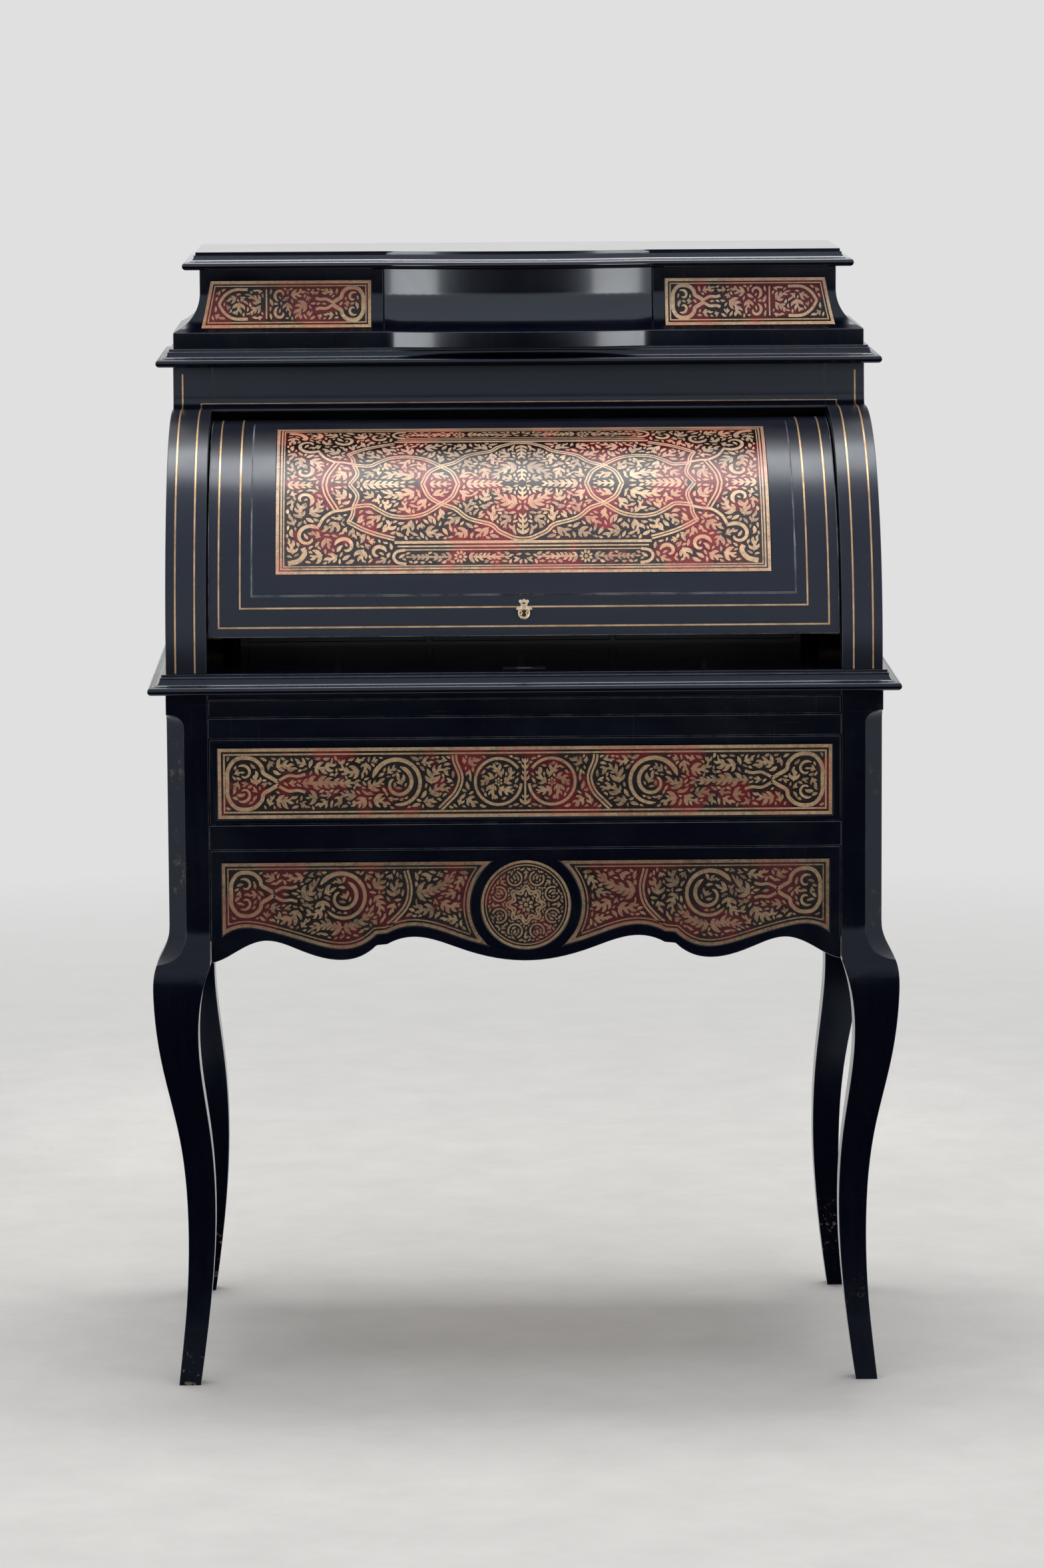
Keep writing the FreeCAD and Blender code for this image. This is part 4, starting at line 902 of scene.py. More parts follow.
    def fill(self, least=1.7):
        """Fills what is left, the widest places first."""
        while True:
            spot = np.unravel_index(np.argmax(self.room), self.room.shape)
            widest = self.room[spot] / self.bold
            if widest < least:
                return
            centre = np.array([self.axes[0][spot[0]], self.axes[1][spot[1]]])
            before = len(self.strips)
            if widest > 2.4:
                way = self.widest_way(centre)
                root = centre - 0.5 * self.bold * min(widest, 3.0) * toward(way)
                reach = self.bold * (20.0 if widest > 4.0 else 11.0)
                curl = self.chance.choice([-0.11, 0.11]) / self.bold
                size = 7.2 if widest > 3.5 else 5.6
                self.sprig(root, way, reach, curl, size, rooted=False)
            if len(self.strips) == before:
                ways = np.linspace(0.0, 2 * math.pi, 12, endpoint=False) + self.chance.uniform(0, 0.5)
                roots = [centre - 1.5 * self.bold * toward(way) for way in ways]
                grown = [self.leaf(root, way, 6.5, self.chance.uniform(-1.2, 1.2), first=1, foot=0.2)
                         for root, way in zip(roots, ways)]
                grown = [g for g in grown if g is not None]
                if grown:
                    self.lay(*max(grown, key=lambda g: np.hypot(*(g[0][-1] - g[0][0]))))
            if len(self.strips) == before:
                self.bud(centre, self.bold * widest - 0.75 * self.gap, self.widest_way(centre))


def polygon(*corners):
    """A closed outline through the corners, with stations on its sides."""
    return np.vstack([straight(a, b)[:-1] for a, b in zip(corners, corners[1:] + corners[:1])])


def rectangle(low_u, low_v, high_u, high_v):
    """A closed outline along the axes, with stations on its sides."""
    return polygon((low_u, low_v), (high_u, low_v), (high_u, high_v), (low_u, high_v))


def lid_pattern(half, tall):
    """The lid's sheet: interlaced straps and acanthus over friezes, drawn in a quarter."""
    sheet = Sheet(rectangle(-0.5, 9.4 - tall, half - 9.4, 0.5), 11)
    middle = curve([(0, -69.5), (8, -68.5), (16, -65), (25, -60), (33, -52.5), (56, -45), (70, -33),
                    (84.4, -26.6), (97, -17), (104, 0)])
    flank = curve([(66.5, 0), (73, -17), (84.4, -26.6), (102, -39), (120, -43), (137, -41), (150, -33.5),
                   (159, -28), (175, -29.5)])
    low = curve([(181, -48), (165, -57.5), (150, -63.5), (133, -68.5)])
    bow = curve([(206, 0), (203, -14), (193, -34)])
    link = curve([(179.5, 0), (171.5, -15), (175, -29.5), (176.5, -40), (181, -49)])
    sheet.strap(middle)
    sheet.strap(flank, lift=0.045)
    sheet.strap(link, 0.85, 1.35, lift=0.06)
    sheet.strap(low, lift=0.05)
    sheet.strap(bow, 0.95, 2.0, lift=0.05)
    sheet.band(straight((133, -72.5), (0, -72.5)), 1.5, 0.6, 0.04)
    sheet.band(straight((130, -77.0), (0, -77.0)), 0.8, 0.5, 0.04)
    sheet.band(curve([(175, -31), (186, -34), (196, -35.5), (206, -43), (212, -54)]), 1.6, 0.8, 0.07)
    sheet.band(straight((0, -80.9), (122, -80.9)), 0.6, 0.4)
    sheet.band(curve([(122, -80.9), (131, -83), (134, -89), (130, -94.5), (121, -96.4)]), 1.5, 0.6)
    sheet.floret((65, -88.8), 6.2, 9)
    spirals = [((222, -66), 14.5, 2.4, -5.2, 4.0), ((184, -77), 11.0, 0.2, 4.9, 3.4),
               ((150, -84), 8.5, 3.0, -4.6, 3.0), ((227, -20), 10.0, 4.0, -4.7, 3.4)]
    for spiral in spirals:
        sheet.scroll(ring(*spiral), 2.3, 1.3)
    sheet.band(curve([(243, -95), (232, -92), (226, -84), (228, -78)]), 2.6, 0.6)
    for way in (0.0, math.pi):
        sheet.sprig((65 + 8.5 * math.cos(way), -88.8), way, 44, 0.0, 5.0, 0.6, 3.0)
    stems = [((166, 0), (128, 0), 6.2), ((96, 0), (74, 0), 4.6), ((0, -64), (0, -42), 6.0),
             ((0, -22), (0, -6), 5.0), ((58, 0), (24, 0), 6.0), ((244, 0), (218, 0), 5.5)]
    for stem in stems:
        sheet.stem(*stem)
    sprigs = [((4, -50), 0.5, 34, 0.04), ((5, -27), 0.3, 44, 0.03), ((52, -8), -0.5, 34, -0.03),
              ((112, -10), -0.5, 30, 0.03), ((146, -8), -0.9, 26, 0.05)]
    for sprig in sprigs:
        sheet.sprig(*sprig, 8.2, 1.0, rooted=False)
    for line in (middle, flank, low):
        sheet.along(line, 15.0, 18.0, 0.09)
    sheet.fill()
    across = sheet.strips + mirrored(sheet.strips, "u")
    edge = rectangle(-half, -tall, half, tall)
    lines = [border(edge, *b) for b in ((1.7, 1.6, 0.4), (5.6, 0.9, 0.5), (8.3, 0.6, 0.5))]
    return across + mirrored(across, "v") + lines


def lobed_end(sheet, u, v, scale=1.0):
    """The lobed cartouche at the outer end of a sheet, its point towards the middle."""
    lobe = [(0, 0), (0.5, 14), (8, 25), (19, 27.5), (29, 25), (36, 18), (38, 11), (46, 6), (54, 1.0)]
    far = [(53, 2.4), (64, 8.0), (74, 7.5), (82, 9.5)]
    for side in (1, -1):
        for line, half in ((lobe, 2.0), (far, 1.5)):
            sheet.band(curve([(u + scale * a, v + side * scale * b) for a, b in line]), half, 0.9)
        hub = (u + scale * 17, v + side * scale * 11)
        inner = ring(hub, 9.0 * scale, side * 2.2, -side * 4.4, 3.4 * scale)
        sheet.scroll(inner, 1.6, 1.0, clear=0.5)


def upper_pattern(half, tall):
    """The upper drawer's sheet, drawn from its left end to its middle."""
    v = tall / 2
    sheet = Sheet(rectangle(8.0 - half, 8.0 - v, 0.5, v - 8.0), 5, 1.45)
    lobed_end(sheet, 10.0 - half, 0.0, 0.98)
    hub, flower = (-132, -1), (-27.5, 0)
    sheet.scroll(ring(hub, 26.0, 2.9, -4.6, 22.0), 2.4, 1.6, 0.95, 0.9)
    sheet.scroll(ring(hub, 17.5, 1.4, -5.4, 6.0), 2.2, 1.3, 0.9, 0.7)
    sheet.strap(curve([(-73, 28), (-72, 21), (-66.5, 5), (-71, -10), (-81, -21), (-88, -28)]), 1.1, 1.8)
    sheet.band(ring(flower, 24.5, 0.6, 5.6, 23.5), 1.5, 0.8)
    sheet.floret(flower, 3.8, 6)
    for angle in 1.0 + 1.25 * np.arange(5):
        sheet.sprig(flower + 5.5 * toward(angle), angle + 0.9, 20, 0.06, 6.4, 0.9)
    sprigs = [((-231, 0), 0.0, 56), ((-222, 3), 0.8, 28), ((-222, -3), -0.8, 28), ((-200, 3), 0.8, 28),
              ((-200, -3), -0.8, 28)]
    for root, heading, reach in sprigs:
        sheet.sprig(root, heading, reach, 0.02 * np.sign(heading), 8.2, 1.0)
    sheet.stem((0, -24), (0, 24), 5.5)
    sheet.fill()
    edge = rectangle(-half, -v, half, v)
    lines = [border(edge, *b) for b in ((1.8, 1.7, 0.9), (6.6, 0.9, 0.8))]
    return sheet.strips + mirrored(sheet.strips, "u") + lines


def lower_pattern(outline):
    """The lower drawer's left sheet, inside its own outline, with u from the middle and v as height."""
    sheet = Sheet(inset(outline, 7.6), 8, 1.45)
    left, high = outline[:, 0].min(), outline[:, 1].max()
    lobed_end(sheet, left + 9.5, high - 32.6, 0.83)
    hub = (-190.0, high - 36.5)
    for radius, start, sweep, end, wide in ((26.0, 2.6, -5.0, 21.0, 2.4), (17.0, 1.2, -5.4, 6.0, 2.2)):
        sheet.scroll(ring(hub, radius, start, sweep, end), wide, 0.6 * wide, 0.92, 0.8)
    bend = [(-124, 9), (-120, 28), (-124, 46), (-138, 62), (-143, 65.5)]
    sheet.strap(curve([(u, high - drop) for u, drop in bend]), 1.1, 1.8)
    sprigs = [(-114, 32, 0.1, 56), (-106, 30, 0.8, 30), (-106, 34, -0.8, 30), (-232, 36.5, 0.6, 30),
              (-232, 38, -0.6, 30), (-190, 68, 0.2, 34), (-190, 68, 2.9, 34)]
    for u, drop, heading, reach in sprigs:
        sheet.sprig((u, high - drop), heading, reach, 0.02, 8.0, 1.0)
    sheet.fill()
    return sheet.strips + [border(outline, *b) for b in ((1.8, 1.7, 0.2), (6.2, 0.7, 0.3))]


def medallion_pattern(centre, radius):
    """The round sheet: a star in a ring of eight scrolled roundels."""
    count = 72
    rim = ring(centre, radius, sweep=2 * math.pi * (count - 1) / count, step=2 * math.pi * radius / count)
    sheet = Sheet(inset(rim, 6.4), 3, 1.05, 0.85)
    turns = np.linspace(0.0, 2 * math.pi, 97)
    around = np.column_stack([np.sin(turns), np.cos(turns)])
    for share in (0.255, 0.325):
        reach = radius * (share + 0.11 * np.abs(np.cos(4 * turns)) ** 2.6)
        sheet.band(centre + reach[:, None] * around, 1.0, 0.0)
    sheet.floret(centre, radius * 0.15, 8)
    for k in range(8):
        way = math.pi / 2 - math.pi * (k + 0.5) / 4
        arm = toward(way)
        hub = np.array(centre) + 0.64 * radius * arm
        sheet.band(ring(hub, 0.155 * radius, way + 0.7, 2 * math.pi - 1.4), 0.9, 0.4)
        for lean in (0.0, 0.9, -0.9, 2.2, -2.2):
            grown = sheet.leaf(hub - 1.5 * arm, way + lean, 5.2, 0.0, first=1, foot=0.2)
            if grown is not None:
                sheet.lay(*grown, tone=0.8)
    sheet.fill(1.5)
    return sheet.strips + [border(rim, *b) for b in ((1.4, 1.3, 0.9), (5.0, 0.6, 0.8))]


def top_pattern(outline):
    """The right top drawer's sheet, inside its own outline, with u from the middle and v as height."""
    sheet = Sheet(inset(outline, 6.8), 21, 1.25, 1.15)
    inner, low, high = outline[:, 0].min(), outline[:, 1].min(), outline[:, 1].max()
    v = (low + high) / 2
    lobed_end(sheet, inner + 8.5, v, 0.62)
    bow = [(132, 15.5), (147, 15.0), (157, 9.0), (163, 0.0)]
    for side in (1, -1):
        spiral = ring((inner + 97, v + side * 9.5), 7.0, -side * 1.2, side * 4.6, 2.6)
        sheet.scroll(spiral, 1.7, 1.1, clear=0.5)
        sheet.band(curve([(inner + u, v + side * rise) for u, rise in bow]), 1.5, 0.6)
        sheet.sprig((inner + 118, v + side * 1.5), side * 0.5, 30, side * 0.02, 6.4)
        sheet.sprig((inner + 106, v + side * 1.5), math.pi - side * 0.4, 24, -side * 0.02, 6.4)
    sheet.band(straight((inner + 112, v - 15.5), (inner + 112, v + 15.5)), 0.8, 0.5)
    sheet.fill(1.9)
    return sheet.strips + [border(outline, *b) for b in ((1.7, 1.6, 0.9), (5.6, 0.6, 0.8))]


def front_loops(node):
    """Outlines of a flat sheet's front, in mm as seen from the front, each turning left."""
    mesh, follows = frame["nodes"][node].data, {}
    for face in mesh.polygons:
        if face.normal.y < -0.98:
            spots = [mesh.vertices[k].co for k in face.vertices]
            spots = [(round(1000 * s.x, 2), round(1000 * s.z, 2)) for s in spots]
            for a, b in zip(spots, spots[1:] + spots[:1]):
                follows[a, b] = True
    ahead = {a: b for a, b in follows if (b, a) not in follows}
    loops = []
    while ahead:
        loop = [next(iter(ahead))]
        while loop[-1] in ahead:
            loop.append(ahead.pop(loop[-1]))
        loops.append(np.array(loop[:-1]))
    return loops


def inlay(name, body, strips, place, finish_name):
    """One piece of brass inlay: flat strips laid by place on a surface, then given thickness."""
    spots, faces, tones = [], [], []
    for left, right, lift, tone in strips:
        first = len(spots)
        for a, b in zip(left, right):
            spots += [place(*a, lift), place(*b, lift)]
        for k in range(first, len(spots) - 2, 2):
            faces.append((k, k + 1, k + 3, k + 2))
        tones += [tone] * (len(spots) - first)
    mesh = bpy.data.meshes.new(name)
    mesh.from_pydata(spots, [], faces)
    mesh.attributes.new("tone", "FLOAT", "POINT").data.foreach_set("value", tones)
    piece = bpy.data.objects.new(name, mesh)
    bpy.context.scene.collection.objects.link(piece)
    modifier(piece, "SOLIDIFY", thickness=bpy.context.scene.desk_sizes.inlay_depth, offset=-1.0)
    paint(piece, finish_name)
    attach(piece, body)


# The lid: its axis, the radii of its board and of its field, its foot at rest, and the way the key points,
# to a thousandth of a degree
LID_AXIS = tuple(joint("lid_turn")["pos_m"])
LID_RADIUS = 0.23
FIELD_RADIUS = 0.2325
LID_FOOT = math.radians(5.86)
KEY_AXIS = Vector(joint("key_turn")["axis"])
KEY_ANGLE = math.radians(round(math.degrees(math.atan2(KEY_AXIS.z, -KEY_AXIS.y)), 3))

# The hollow between the pilasters' round and the frieze
COVE_HUB = (0.0, 0.0245, 1.014)
COVE_RADIUS = 0.01


class DESK_OT_brass_lines(bpy.types.Operator):
    """Let the brass lines into the pilasters, the frieze and the lid"""
    bl_idname = "desk.brass_lines"
    bl_label = "Brass Lines"

    def execute(self, context):
        sizes = context.scene.desk_sizes
        wide, proud = sizes.line_width, sizes.line_proud
        low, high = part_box("right_pilaster")
        above_desk, below_top, off_inner, off_outer = 0.0005, 0.008, 0.012, 0.01
        foot, head = low.z + above_desk, high.z - below_top
        inner, outer, front = low.x + off_inner, high.x - off_outer, low.y - proud
        # The level line lies at the seat's angle in the hollow
        quarter, seat, cove = math.pi / 2, math.radians(38), COVE_RADIUS - proud
        low_bend, high_bend = FRIEZE_BENDS
        up = [("move", (0, 0, LID_AXIS[2] - foot)),
              ("turn", LID_AXIS, -quarter),
              ("move", (0, COVE_HUB[1] - LID_AXIS[1], 0))]
        over = [("turn", COVE_HUB, quarter),
                ("move", (0, 0, low_bend - COVE_HUB[2])),
                ("move", (0, FRIEZE_LEAN, high_bend - low_bend)),
                ("move", (0, 0, head - high_bend))]
        lines = []
        for x, end in ((outer, over), (inner, [("turn", COVE_HUB, quarter - seat)])):
            for side in (-1, 1):
                lines.append(swept_line(wide, (side * x, front, foot), up + end))
        level = (0, COVE_HUB[1] + cove * math.cos(seat), COVE_HUB[2] - cove * math.sin(seat))
        lines.append(swept_line(2 * inner + wide, level, [("turn", COVE_HUB, 0.6 * wide / cove)]))
        finish_lines("case_lines", lines, "carcase")
        lines, reach, thick = [], LID_RADIUS + proud, wide / LID_RADIUS
        lid_side, lid_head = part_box("lid_board")[1].x, math.radians(101.0)
        for off_foot, off_side in ((0.011, 0.011), (0.031, 0.033)):
            angle, half = LID_FOOT + off_foot / LID_RADIUS, lid_side - off_side
            for side in (-1, 1):
                start = on_round(reach, angle, side * half)
                lines.append(swept_line(wide, start, [("turn", LID_AXIS, angle - lid_head)]))
            start = on_round(reach, angle - thick, 0.0)
            lines.append(swept_line(2 * half + wide, start, [("turn", LID_AXIS, -thick)]))
        finish_lines("lid_lines", lines, "lid")
        return {"FINISHED"}


def on_round(radius, angle, x):
    """A place on a cylinder round the lid's axis, the angle from the front upwards."""
    return (x, LID_AXIS[1] - radius * math.cos(angle), LID_AXIS[2] + radius * math.sin(angle))


def swept_line(width, start, moves):
    """A flat strip swept from a level edge by straight moves and turns about level axes."""
    bpy.ops.object.select_all(action="DESELECT")
    bpy.ops.mesh.primitive_plane_add(size=width)
    line = bpy.context.object
    bpy.ops.object.mode_set(mode="EDIT")
    bpy.ops.mesh.select_mode(type="VERT")
    bpy.ops.mesh.select_all(action="DESELECT")
    bpy.ops.object.mode_set(mode="OBJECT")
    for vertex in line.data.vertices:
        vertex.select = vertex.co.y > 0.0
    bpy.ops.object.mode_set(mode="EDIT")
    bpy.ops.mesh.delete(type="VERT")
    bpy.ops.mesh.select_all(action="SELECT")
    bpy.ops.transform.translate(value=(start[0], start[1] + width / 2, start[2]))
    for kind, *move in moves:
        if kind == "move":
            bpy.ops.mesh.extrude_edges_move(TRANSFORM_OT_translate={"value": move[0]})
        else:
            bpy.ops.mesh.spin(steps=max(2, int(abs(move[1]) / 0.03)), angle=move[1], center=move[0],
                              axis=(-1.0, 0.0, 0.0))
    bpy.ops.object.mode_set(mode="OBJECT")
    if line.data.polygons[0].normal.y > 0.0:
        bpy.ops.object.mode_set(mode="EDIT")
        bpy.ops.mesh.select_all(action="SELECT")
        bpy.ops.mesh.flip_normals()
        bpy.ops.object.mode_set(mode="OBJECT")
    modifier(line, "SOLIDIFY", thickness=bpy.context.scene.desk_sizes.line_depth, offset=-1.0)
    return line


def finish_lines(name, lines, body):
    """Joins brass lines to one piece on a body."""
    only(lines[0])
    for line in lines:
        line.select_set(True)
    bpy.ops.object.join()
    piece = bpy.context.object
    piece.name = name
    paint(piece, "line_brass")
    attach(piece, body)


class DESK_OT_key_plate(bpy.types.Operator):
    """Finish the key and pierce the brass plate round it"""
    bl_idname = "desk.key_plate"
    bl_label = "Key and Plate"

    def execute(self, context):
        sizes = context.scene.desk_sizes
        key_arris, plate_arris, blunt = 0.0006, 0.00025, math.radians(40)
        dress("key", "key_brass", key_arris, True)
        half = curve([(0, 12.2), (1.2, 11.8), (2.1, 10.7), (3.2, 11.4), (4.6, 11.0), (5.2, 9.6), (4.5, 8.2),
                      (3.6, 7.2), (3.5, 4.5), (3.8, 2.2), (5.4, 1.0), (6.2, -1.2), (5.9, -4.2), (4.2, -7.2),
                      (2.0, -8.9), (0, -9.6)], 0.7)
        outline = 0.001 * np.vstack([half, half[-2:0:-1] * (-1.0, 1.0)])
        plate = flat_plate("key_plate", outline, sizes.plate)
        for height, wide, tall in ((0.0, 4.6, 4.6), (-4.2, 4.4, 4.0), (7.4, 3.4, 1.5), (3.9, 1.8, 1.6)):
            pierce(plate, 0.001 * height, 0.001 * wide, 0.001 * tall)
        modifier(plate, "BEVEL", width=plate_arris, segments=2, limit_method="ANGLE", angle_limit=blunt)
        bpy.ops.object.shade_smooth_by_angle(angle=blunt)
        plate.matrix_world = (Matrix.Translation(on_round(LID_RADIUS, KEY_ANGLE, 0.0))
                              @ Matrix.Rotation(-KEY_ANGLE, 4, "X"))
        only(plate)
        bpy.ops.object.transform_apply(location=True, rotation=True, scale=True)
        paint(plate, "key_brass")
        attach(plate, body_of("escutcheon"))
        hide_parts("escutcheon")
        return {"FINISHED"}


def flat_plate(name, outline, thickness):
    """A plate of this outline in the XZ plane, its back at nought and its front towards -Y."""
    mesh = bpy.data.meshes.new(name)
    mesh.from_pydata([(x, 0.0, z) for x, z in outline], [], [tuple(range(len(outline)))])
    plate = bpy.data.objects.new(name, mesh)
    bpy.context.scene.collection.objects.link(plate)
    only(plate)
    bpy.ops.object.mode_set(mode="EDIT")
    bpy.ops.mesh.select_all(action="SELECT")
    bpy.ops.mesh.extrude_region_move(TRANSFORM_OT_translate={"value": (0.0, -thickness, 0.0)})
    bpy.ops.mesh.select_all(action="SELECT")
    bpy.ops.mesh.normals_make_consistent(inside=False)
    bpy.ops.object.mode_set(mode="OBJECT")
    return plate


def pierce(plate, height, wide, tall):
    """Cuts a round or oval hole through a plate in the XZ plane, on its middle line."""
    bpy.ops.object.select_all(action="DESELECT")
    bpy.ops.mesh.primitive_cylinder_add(vertices=20, radius=0.5, depth=0.02, location=(0.0, 0.0, height),
                                        rotation=(math.pi / 2, 0.0, 0.0), scale=(wide, tall, 1.0))
    drill = bpy.context.object
    modifier(plate, "BOOLEAN", operation="DIFFERENCE", object=drill, solver="EXACT")
    bpy.data.objects.remove(drill, do_unlink=True)


class DESK_OT_lid_inlay(bpy.types.Operator):
    """Lay the brass of the lid's marquetry"""
    bl_idname = "desk.lid_inlay"
    bl_label = "Lid Inlay"

    def execute(self, context):
        proud = context.scene.desk_sizes.inlay_proud
        half_width = box_mm("lid_marquetry")[1][0]
        # The sheet's lower and upper edges, along the round from the lid's foot
        low, high, round_mm = 65.0, 278.5, 1000 * LID_RADIUS
        middle = LID_FOOT + (low + high) / 2 / round_mm

        def on_lid(u, v, lift):
            return on_round(FIELD_RADIUS + proud + lift / 1000, middle + v / round_mm, u / 1000)

        strips = lid_pattern(half_width, (high - low) / 2)
        # The lid's brass is a lighter copy as painted light, darkened at the top as painted shade
        inlay("lid_inlay", body_of("lid_marquetry"), strips, on_lid, "lid_brass")
        return {"FINISHED"}


class DESK_OT_drawer_inlay(bpy.types.Operator):
    """Lay the brass of both belt drawers' marquetry"""
    bl_idname = "desk.drawer_inlay"
    bl_label = "Drawer Inlay"

    def execute(self, context):
        proud = 1000 * context.scene.desk_sizes.inlay_proud
        face, near_middle = box_mm("upper_drawer_marquetry")[0][1], 20.0

        def on_front(u, v, lift):
            return (u / 1000, (face - proud - lift) / 1000, v / 1000)

        upper = front_loops("upper_drawer_marquetry")[0]
        half, low, high = upper[:, 0].max(), upper[:, 1].min(), upper[:, 1].max()
        inlay("upper_drawer_inlay", body_of("upper_drawer_marquetry"), upper_pattern(half, high - low),
              lambda u, v, lift: on_front(u, v + (low + high) / 2, lift), "drawer_brass")
        # The lower drawer's brass is a darker copy: painted shade
        body = body_of("lower_drawer_marquetry")
        for loop in front_loops("lower_drawer_marquetry"):
            middle = loop[:, 0].mean()
            if abs(middle) < near_middle:
                centre, radius = (loop.max(0) + loop.min(0)) / 2, (loop[:, 0].max() - loop[:, 0].min()) / 2
                inlay("medallion_inlay", body, medallion_pattern(centre, radius), on_front, "apron_brass")
            elif middle < 0.0:
                strips = lower_pattern(loop)
                inlay("lower_left_inlay", body, strips, on_front, "apron_brass")
                inlay("lower_right_inlay", body, mirrored(strips, "u"), on_front, "apron_brass")
        return {"FINISHED"}


class DESK_OT_top_inlay(bpy.types.Operator):
    """Lay the brass of the two hollowed top drawers"""
    bl_idname = "desk.top_inlay"
    bl_label = "Top Drawer Inlay"

    def execute(self, context):
        proud = 1000 * context.scene.desk_sizes.inlay_proud
        (inner, _, low), (outer, back, high) = box_mm("right_top_marquetry")
        # The sheet is flat above the bend and hollow below it; its outer end slants
        bend, radius, thick, slant = 1125.0, 44.0, 1.0, 10.0
        face = back - thick

        def on_hollow(u, v, lift):
            drop = max(0.0, bend - v)
            depth = radius - math.sqrt(radius ** 2 - drop ** 2)
            out = proud + lift
            return (u / 1000, (face - depth - out * math.sqrt(1 - (drop / radius) ** 2)) / 1000,
                    (v + out * drop / radius) / 1000)

        high_outer = round(outer - slant, 2)
        strips = top_pattern(polygon((inner, low), (outer, low), (high_outer, high), (inner, high)))
        # The right sheet's brass is a lighter copy: painted light from the right
        inlay("right_top_inlay", body_of("right_top_marquetry"), strips, on_hollow, "right_top_brass")
        strips = mirrored(strips, "u")
        inlay("left_top_inlay", body_of("left_top_marquetry"), strips, on_hollow, "top_brass")
        return {"FINISHED"}


class DESK_OT_stage(bpy.types.Operator):
    """Set up the floor, the soft light and the camera"""
    bl_idname = "desk.stage"
    bl_label = "Stage"

    def execute(self, context):
        tones = context.scene.desk_colours
        bpy.ops.object.select_all(action="DESELECT")
        bpy.ops.mesh.primitive_circle_add(vertices=128, radius=7.0, fill_type="NGON")
        floor = context.object
        floor.name = "stage_floor"
        floor.visible_glossy = False
        floor.data.materials.append(pale_floor(tones))
        surroundings(context.scene, tones)
        soft_light("overhead_light", (0.0, 0.45, 3.0), (0.0, 0.1, 1.0), (1.5, 0.85), 28.0)
        soft_light("overhead_glow", (0.0, -0.4, 3.1), (0.0, -0.2, 1.0), (2.4, 1.6), 26.0, glossy=False)
        soft_light("lid_light", (0.0, -3.0, 2.6), (0.0, -0.19, 0.9), (1.0, 0.15), 0.4, glossy=False,
                   angle=7.0)
        for side in (-1, 1):
            soft_light("side_light", (side * 1.62, -3.05, 0.92), (0.0, 0.0, 0.95), (0.8, 0.8), 10.5,
                       diffuse=False)
        camera_at(context.scene)
        return {"FINISHED"}


def pale_floor(tones):
    """Pale floor with faint mottling, fading into the surroundings."""
    made, tree, shader = finish("pale_floor", {"Roughness": 0.85, "Specular IOR Level": 0.1})
    mottle = object_noise(tree, 9.0, 9.0, rough=0.72)
    lighter = tuple(min(1.0, 1.06 * c) for c in tones.floor)
    darker = tuple(0.95 * c for c in tones.floor)
    feed(tree, shader, mix(tree, spread(tree, mottle, 0.3, 0.7), darker, lighter))
    place = add(tree, "ShaderNodeTexCoord").outputs["Object"]
    reach = add(tree, "ShaderNodeVectorMath", {0: place}, operation="LENGTH").outputs["Value"]
    clear = add(tree, "ShaderNodeBsdfTransparent").outputs[0]
    fade = spread(tree, reach, 1.2, 3.4)
    both = add(tree, "ShaderNodeMixShader", {0: fade, 1: shader.outputs[0], 2: clear}).outputs[0]
    tree.links.new(both, tree.nodes["Material Output"].inputs["Surface"])
    return made


def surroundings(scene, tones):
    """Soft light from all round with a dark place low in front, and a pale backdrop for the camera."""
    world = bpy.data.worlds.new("pale_studio")
    scene.world = world
    world.use_nodes = True
    tree = world.node_tree
    tree.nodes.clear()
    ray = add(tree, "ShaderNodeTexCoord").outputs["Generated"]
    ahead = Vector((0.0, -1.0, -0.7)).normalized()
    facing = add(tree, "ShaderNodeVectorMath", {0: ray, 1: ahead}, operation="DOT_PRODUCT").outputs["Value"]
    dark = spread(tree, facing, 0.775, 0.83)
    behind = spread(tree, add(tree, "ShaderNodeSeparateXYZ", {0: ray}).outputs["Y"], 0.1, 0.6, 0.0, 1.0)
    path = add(tree, "ShaderNodeLightPath").outputs
    front = mix(tree, path["Is Glossy Ray"], (0.43, 0.44, 0.46), (0.71, 0.765, 0.87))
    glow = mix(tree, dark, mix(tree, behind, front, tones.backdrop), (0.001, 0.0015, 0.004))
    colour_seen = mix(tree, path["Is Camera Ray"], glow, tones.backdrop)
    light = add(tree, "ShaderNodeBackground", {"Color": colour_seen, "Strength": 1.0}).outputs[0]
    add(tree, "ShaderNodeOutputWorld", {"Surface": light})


def soft_light(name, place, target, size, power, diffuse=True, glossy=True, angle=180.0):
    """A soft light turned to a target; its beam may be narrow, or leave out matt or shiny surfaces."""
    lamp = bpy.data.lights.new(name, "AREA")
    lamp.shape = "RECTANGLE"
    lamp.size, lamp.size_y = size
    lamp.energy = power
    lamp.spread = math.radians(angle)
    holder = bpy.data.objects.new(name, lamp)
    bpy.context.scene.collection.objects.link(holder)
    holder.location = place
    holder.rotation_euler = (Vector(target) - Vector(place)).to_track_quat("-Z", "Y").to_euler()
    holder.visible_camera = False
    holder.visible_diffuse = diffuse
    holder.visible_glossy = glossy


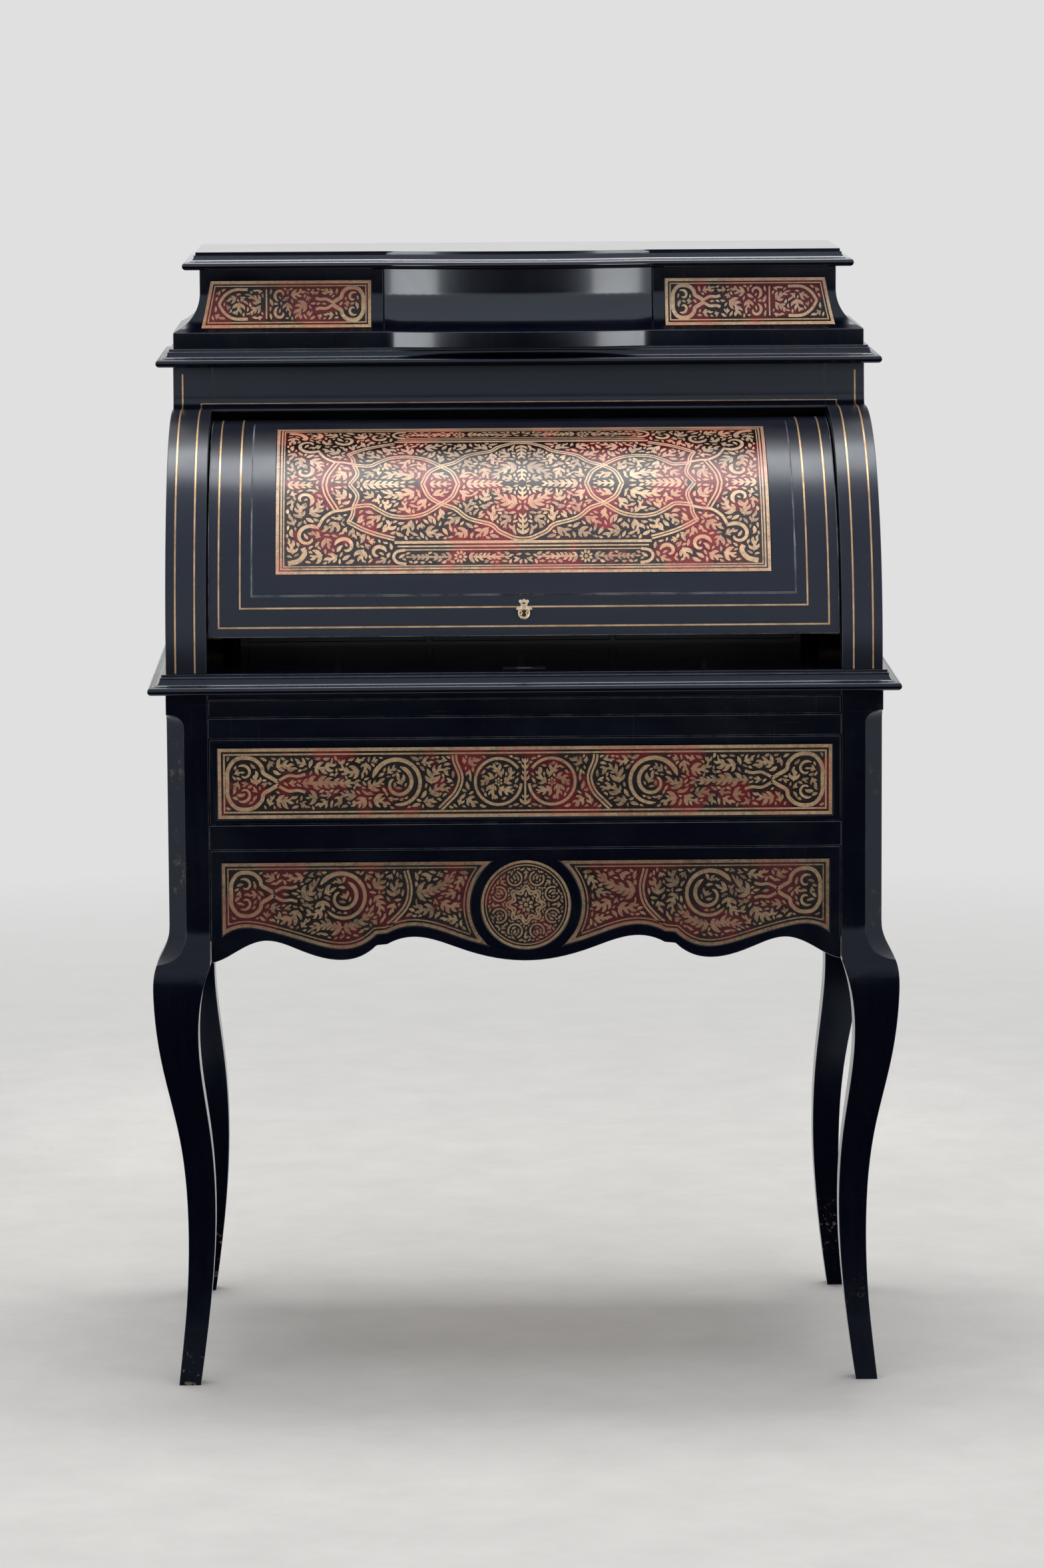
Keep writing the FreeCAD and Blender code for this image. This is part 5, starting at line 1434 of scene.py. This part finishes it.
def camera_at(scene):
    """The camera at the photograph's viewing angle."""
    eye = Vector((-0.0944, -6.393, 1.475))
    yaw, pitch, roll = 0.0148, -0.136, -0.0059
    ahead = Vector((math.sin(yaw) * math.cos(pitch), math.cos(yaw) * math.cos(pitch), math.sin(pitch)))
    level = Vector((math.cos(yaw), -math.sin(yaw), 0.0))
    upright = level.cross(ahead)
    right = level * math.cos(roll) + upright * math.sin(roll)
    up = upright * math.cos(roll) - level * math.sin(roll)
    lens = bpy.data.cameras.new("front_camera")
    lens.lens = 138.03
    lens.sensor_width = 36.0
    lens.clip_end = 60.0
    camera = bpy.data.objects.new("front_camera", lens)
    scene.collection.objects.link(camera)
    turn = Matrix((right, up, -ahead)).transposed().to_4x4()
    camera.matrix_world = Matrix.Translation(eye) @ turn
    scene.camera = camera
    scene.view_settings.view_transform = "Standard"


class DESK_PT_looks(bpy.types.Panel):
    """Lists the desk's pieces in the sidebar"""
    bl_label = "Cylinder Desk"
    bl_idname = "DESK_PT_looks"
    bl_space_type = "VIEW_3D"
    bl_region_type = "UI"
    bl_category = "Desk"

    def draw(self, context):
        for kind in PIECES:
            self.layout.operator(kind.bl_idname)
        for group in (context.scene.desk_sizes, context.scene.desk_colours):
            for key in group.__annotations__:
                self.layout.prop(group, key)


PIECES = (DESK_OT_polished_boards, DESK_OT_insides, DESK_OT_brass_lines, DESK_OT_key_plate,
          DESK_OT_lid_inlay, DESK_OT_drawer_inlay, DESK_OT_top_inlay, DESK_OT_stage)
CLASSES = (DeskSizes, DeskColours, *PIECES, DESK_PT_looks)


def register():
    """Registers the classes and gives the scene its sizes and colours."""
    for kind in CLASSES:
        bpy.utils.register_class(kind)
    bpy.types.Scene.desk_sizes = PointerProperty(type=DeskSizes)
    bpy.types.Scene.desk_colours = PointerProperty(type=DeskColours)


def unregister():
    """Takes back what register gave."""
    del bpy.types.Scene.desk_colours
    del bpy.types.Scene.desk_sizes
    for kind in reversed(CLASSES):
        bpy.utils.unregister_class(kind)


def main():
    """Builds every piece in order."""
    register()
    for kind in PIECES:
        group, name = kind.bl_idname.split(".")
        getattr(getattr(bpy.ops, group), name)()


if __name__ == "__main__":
    main()
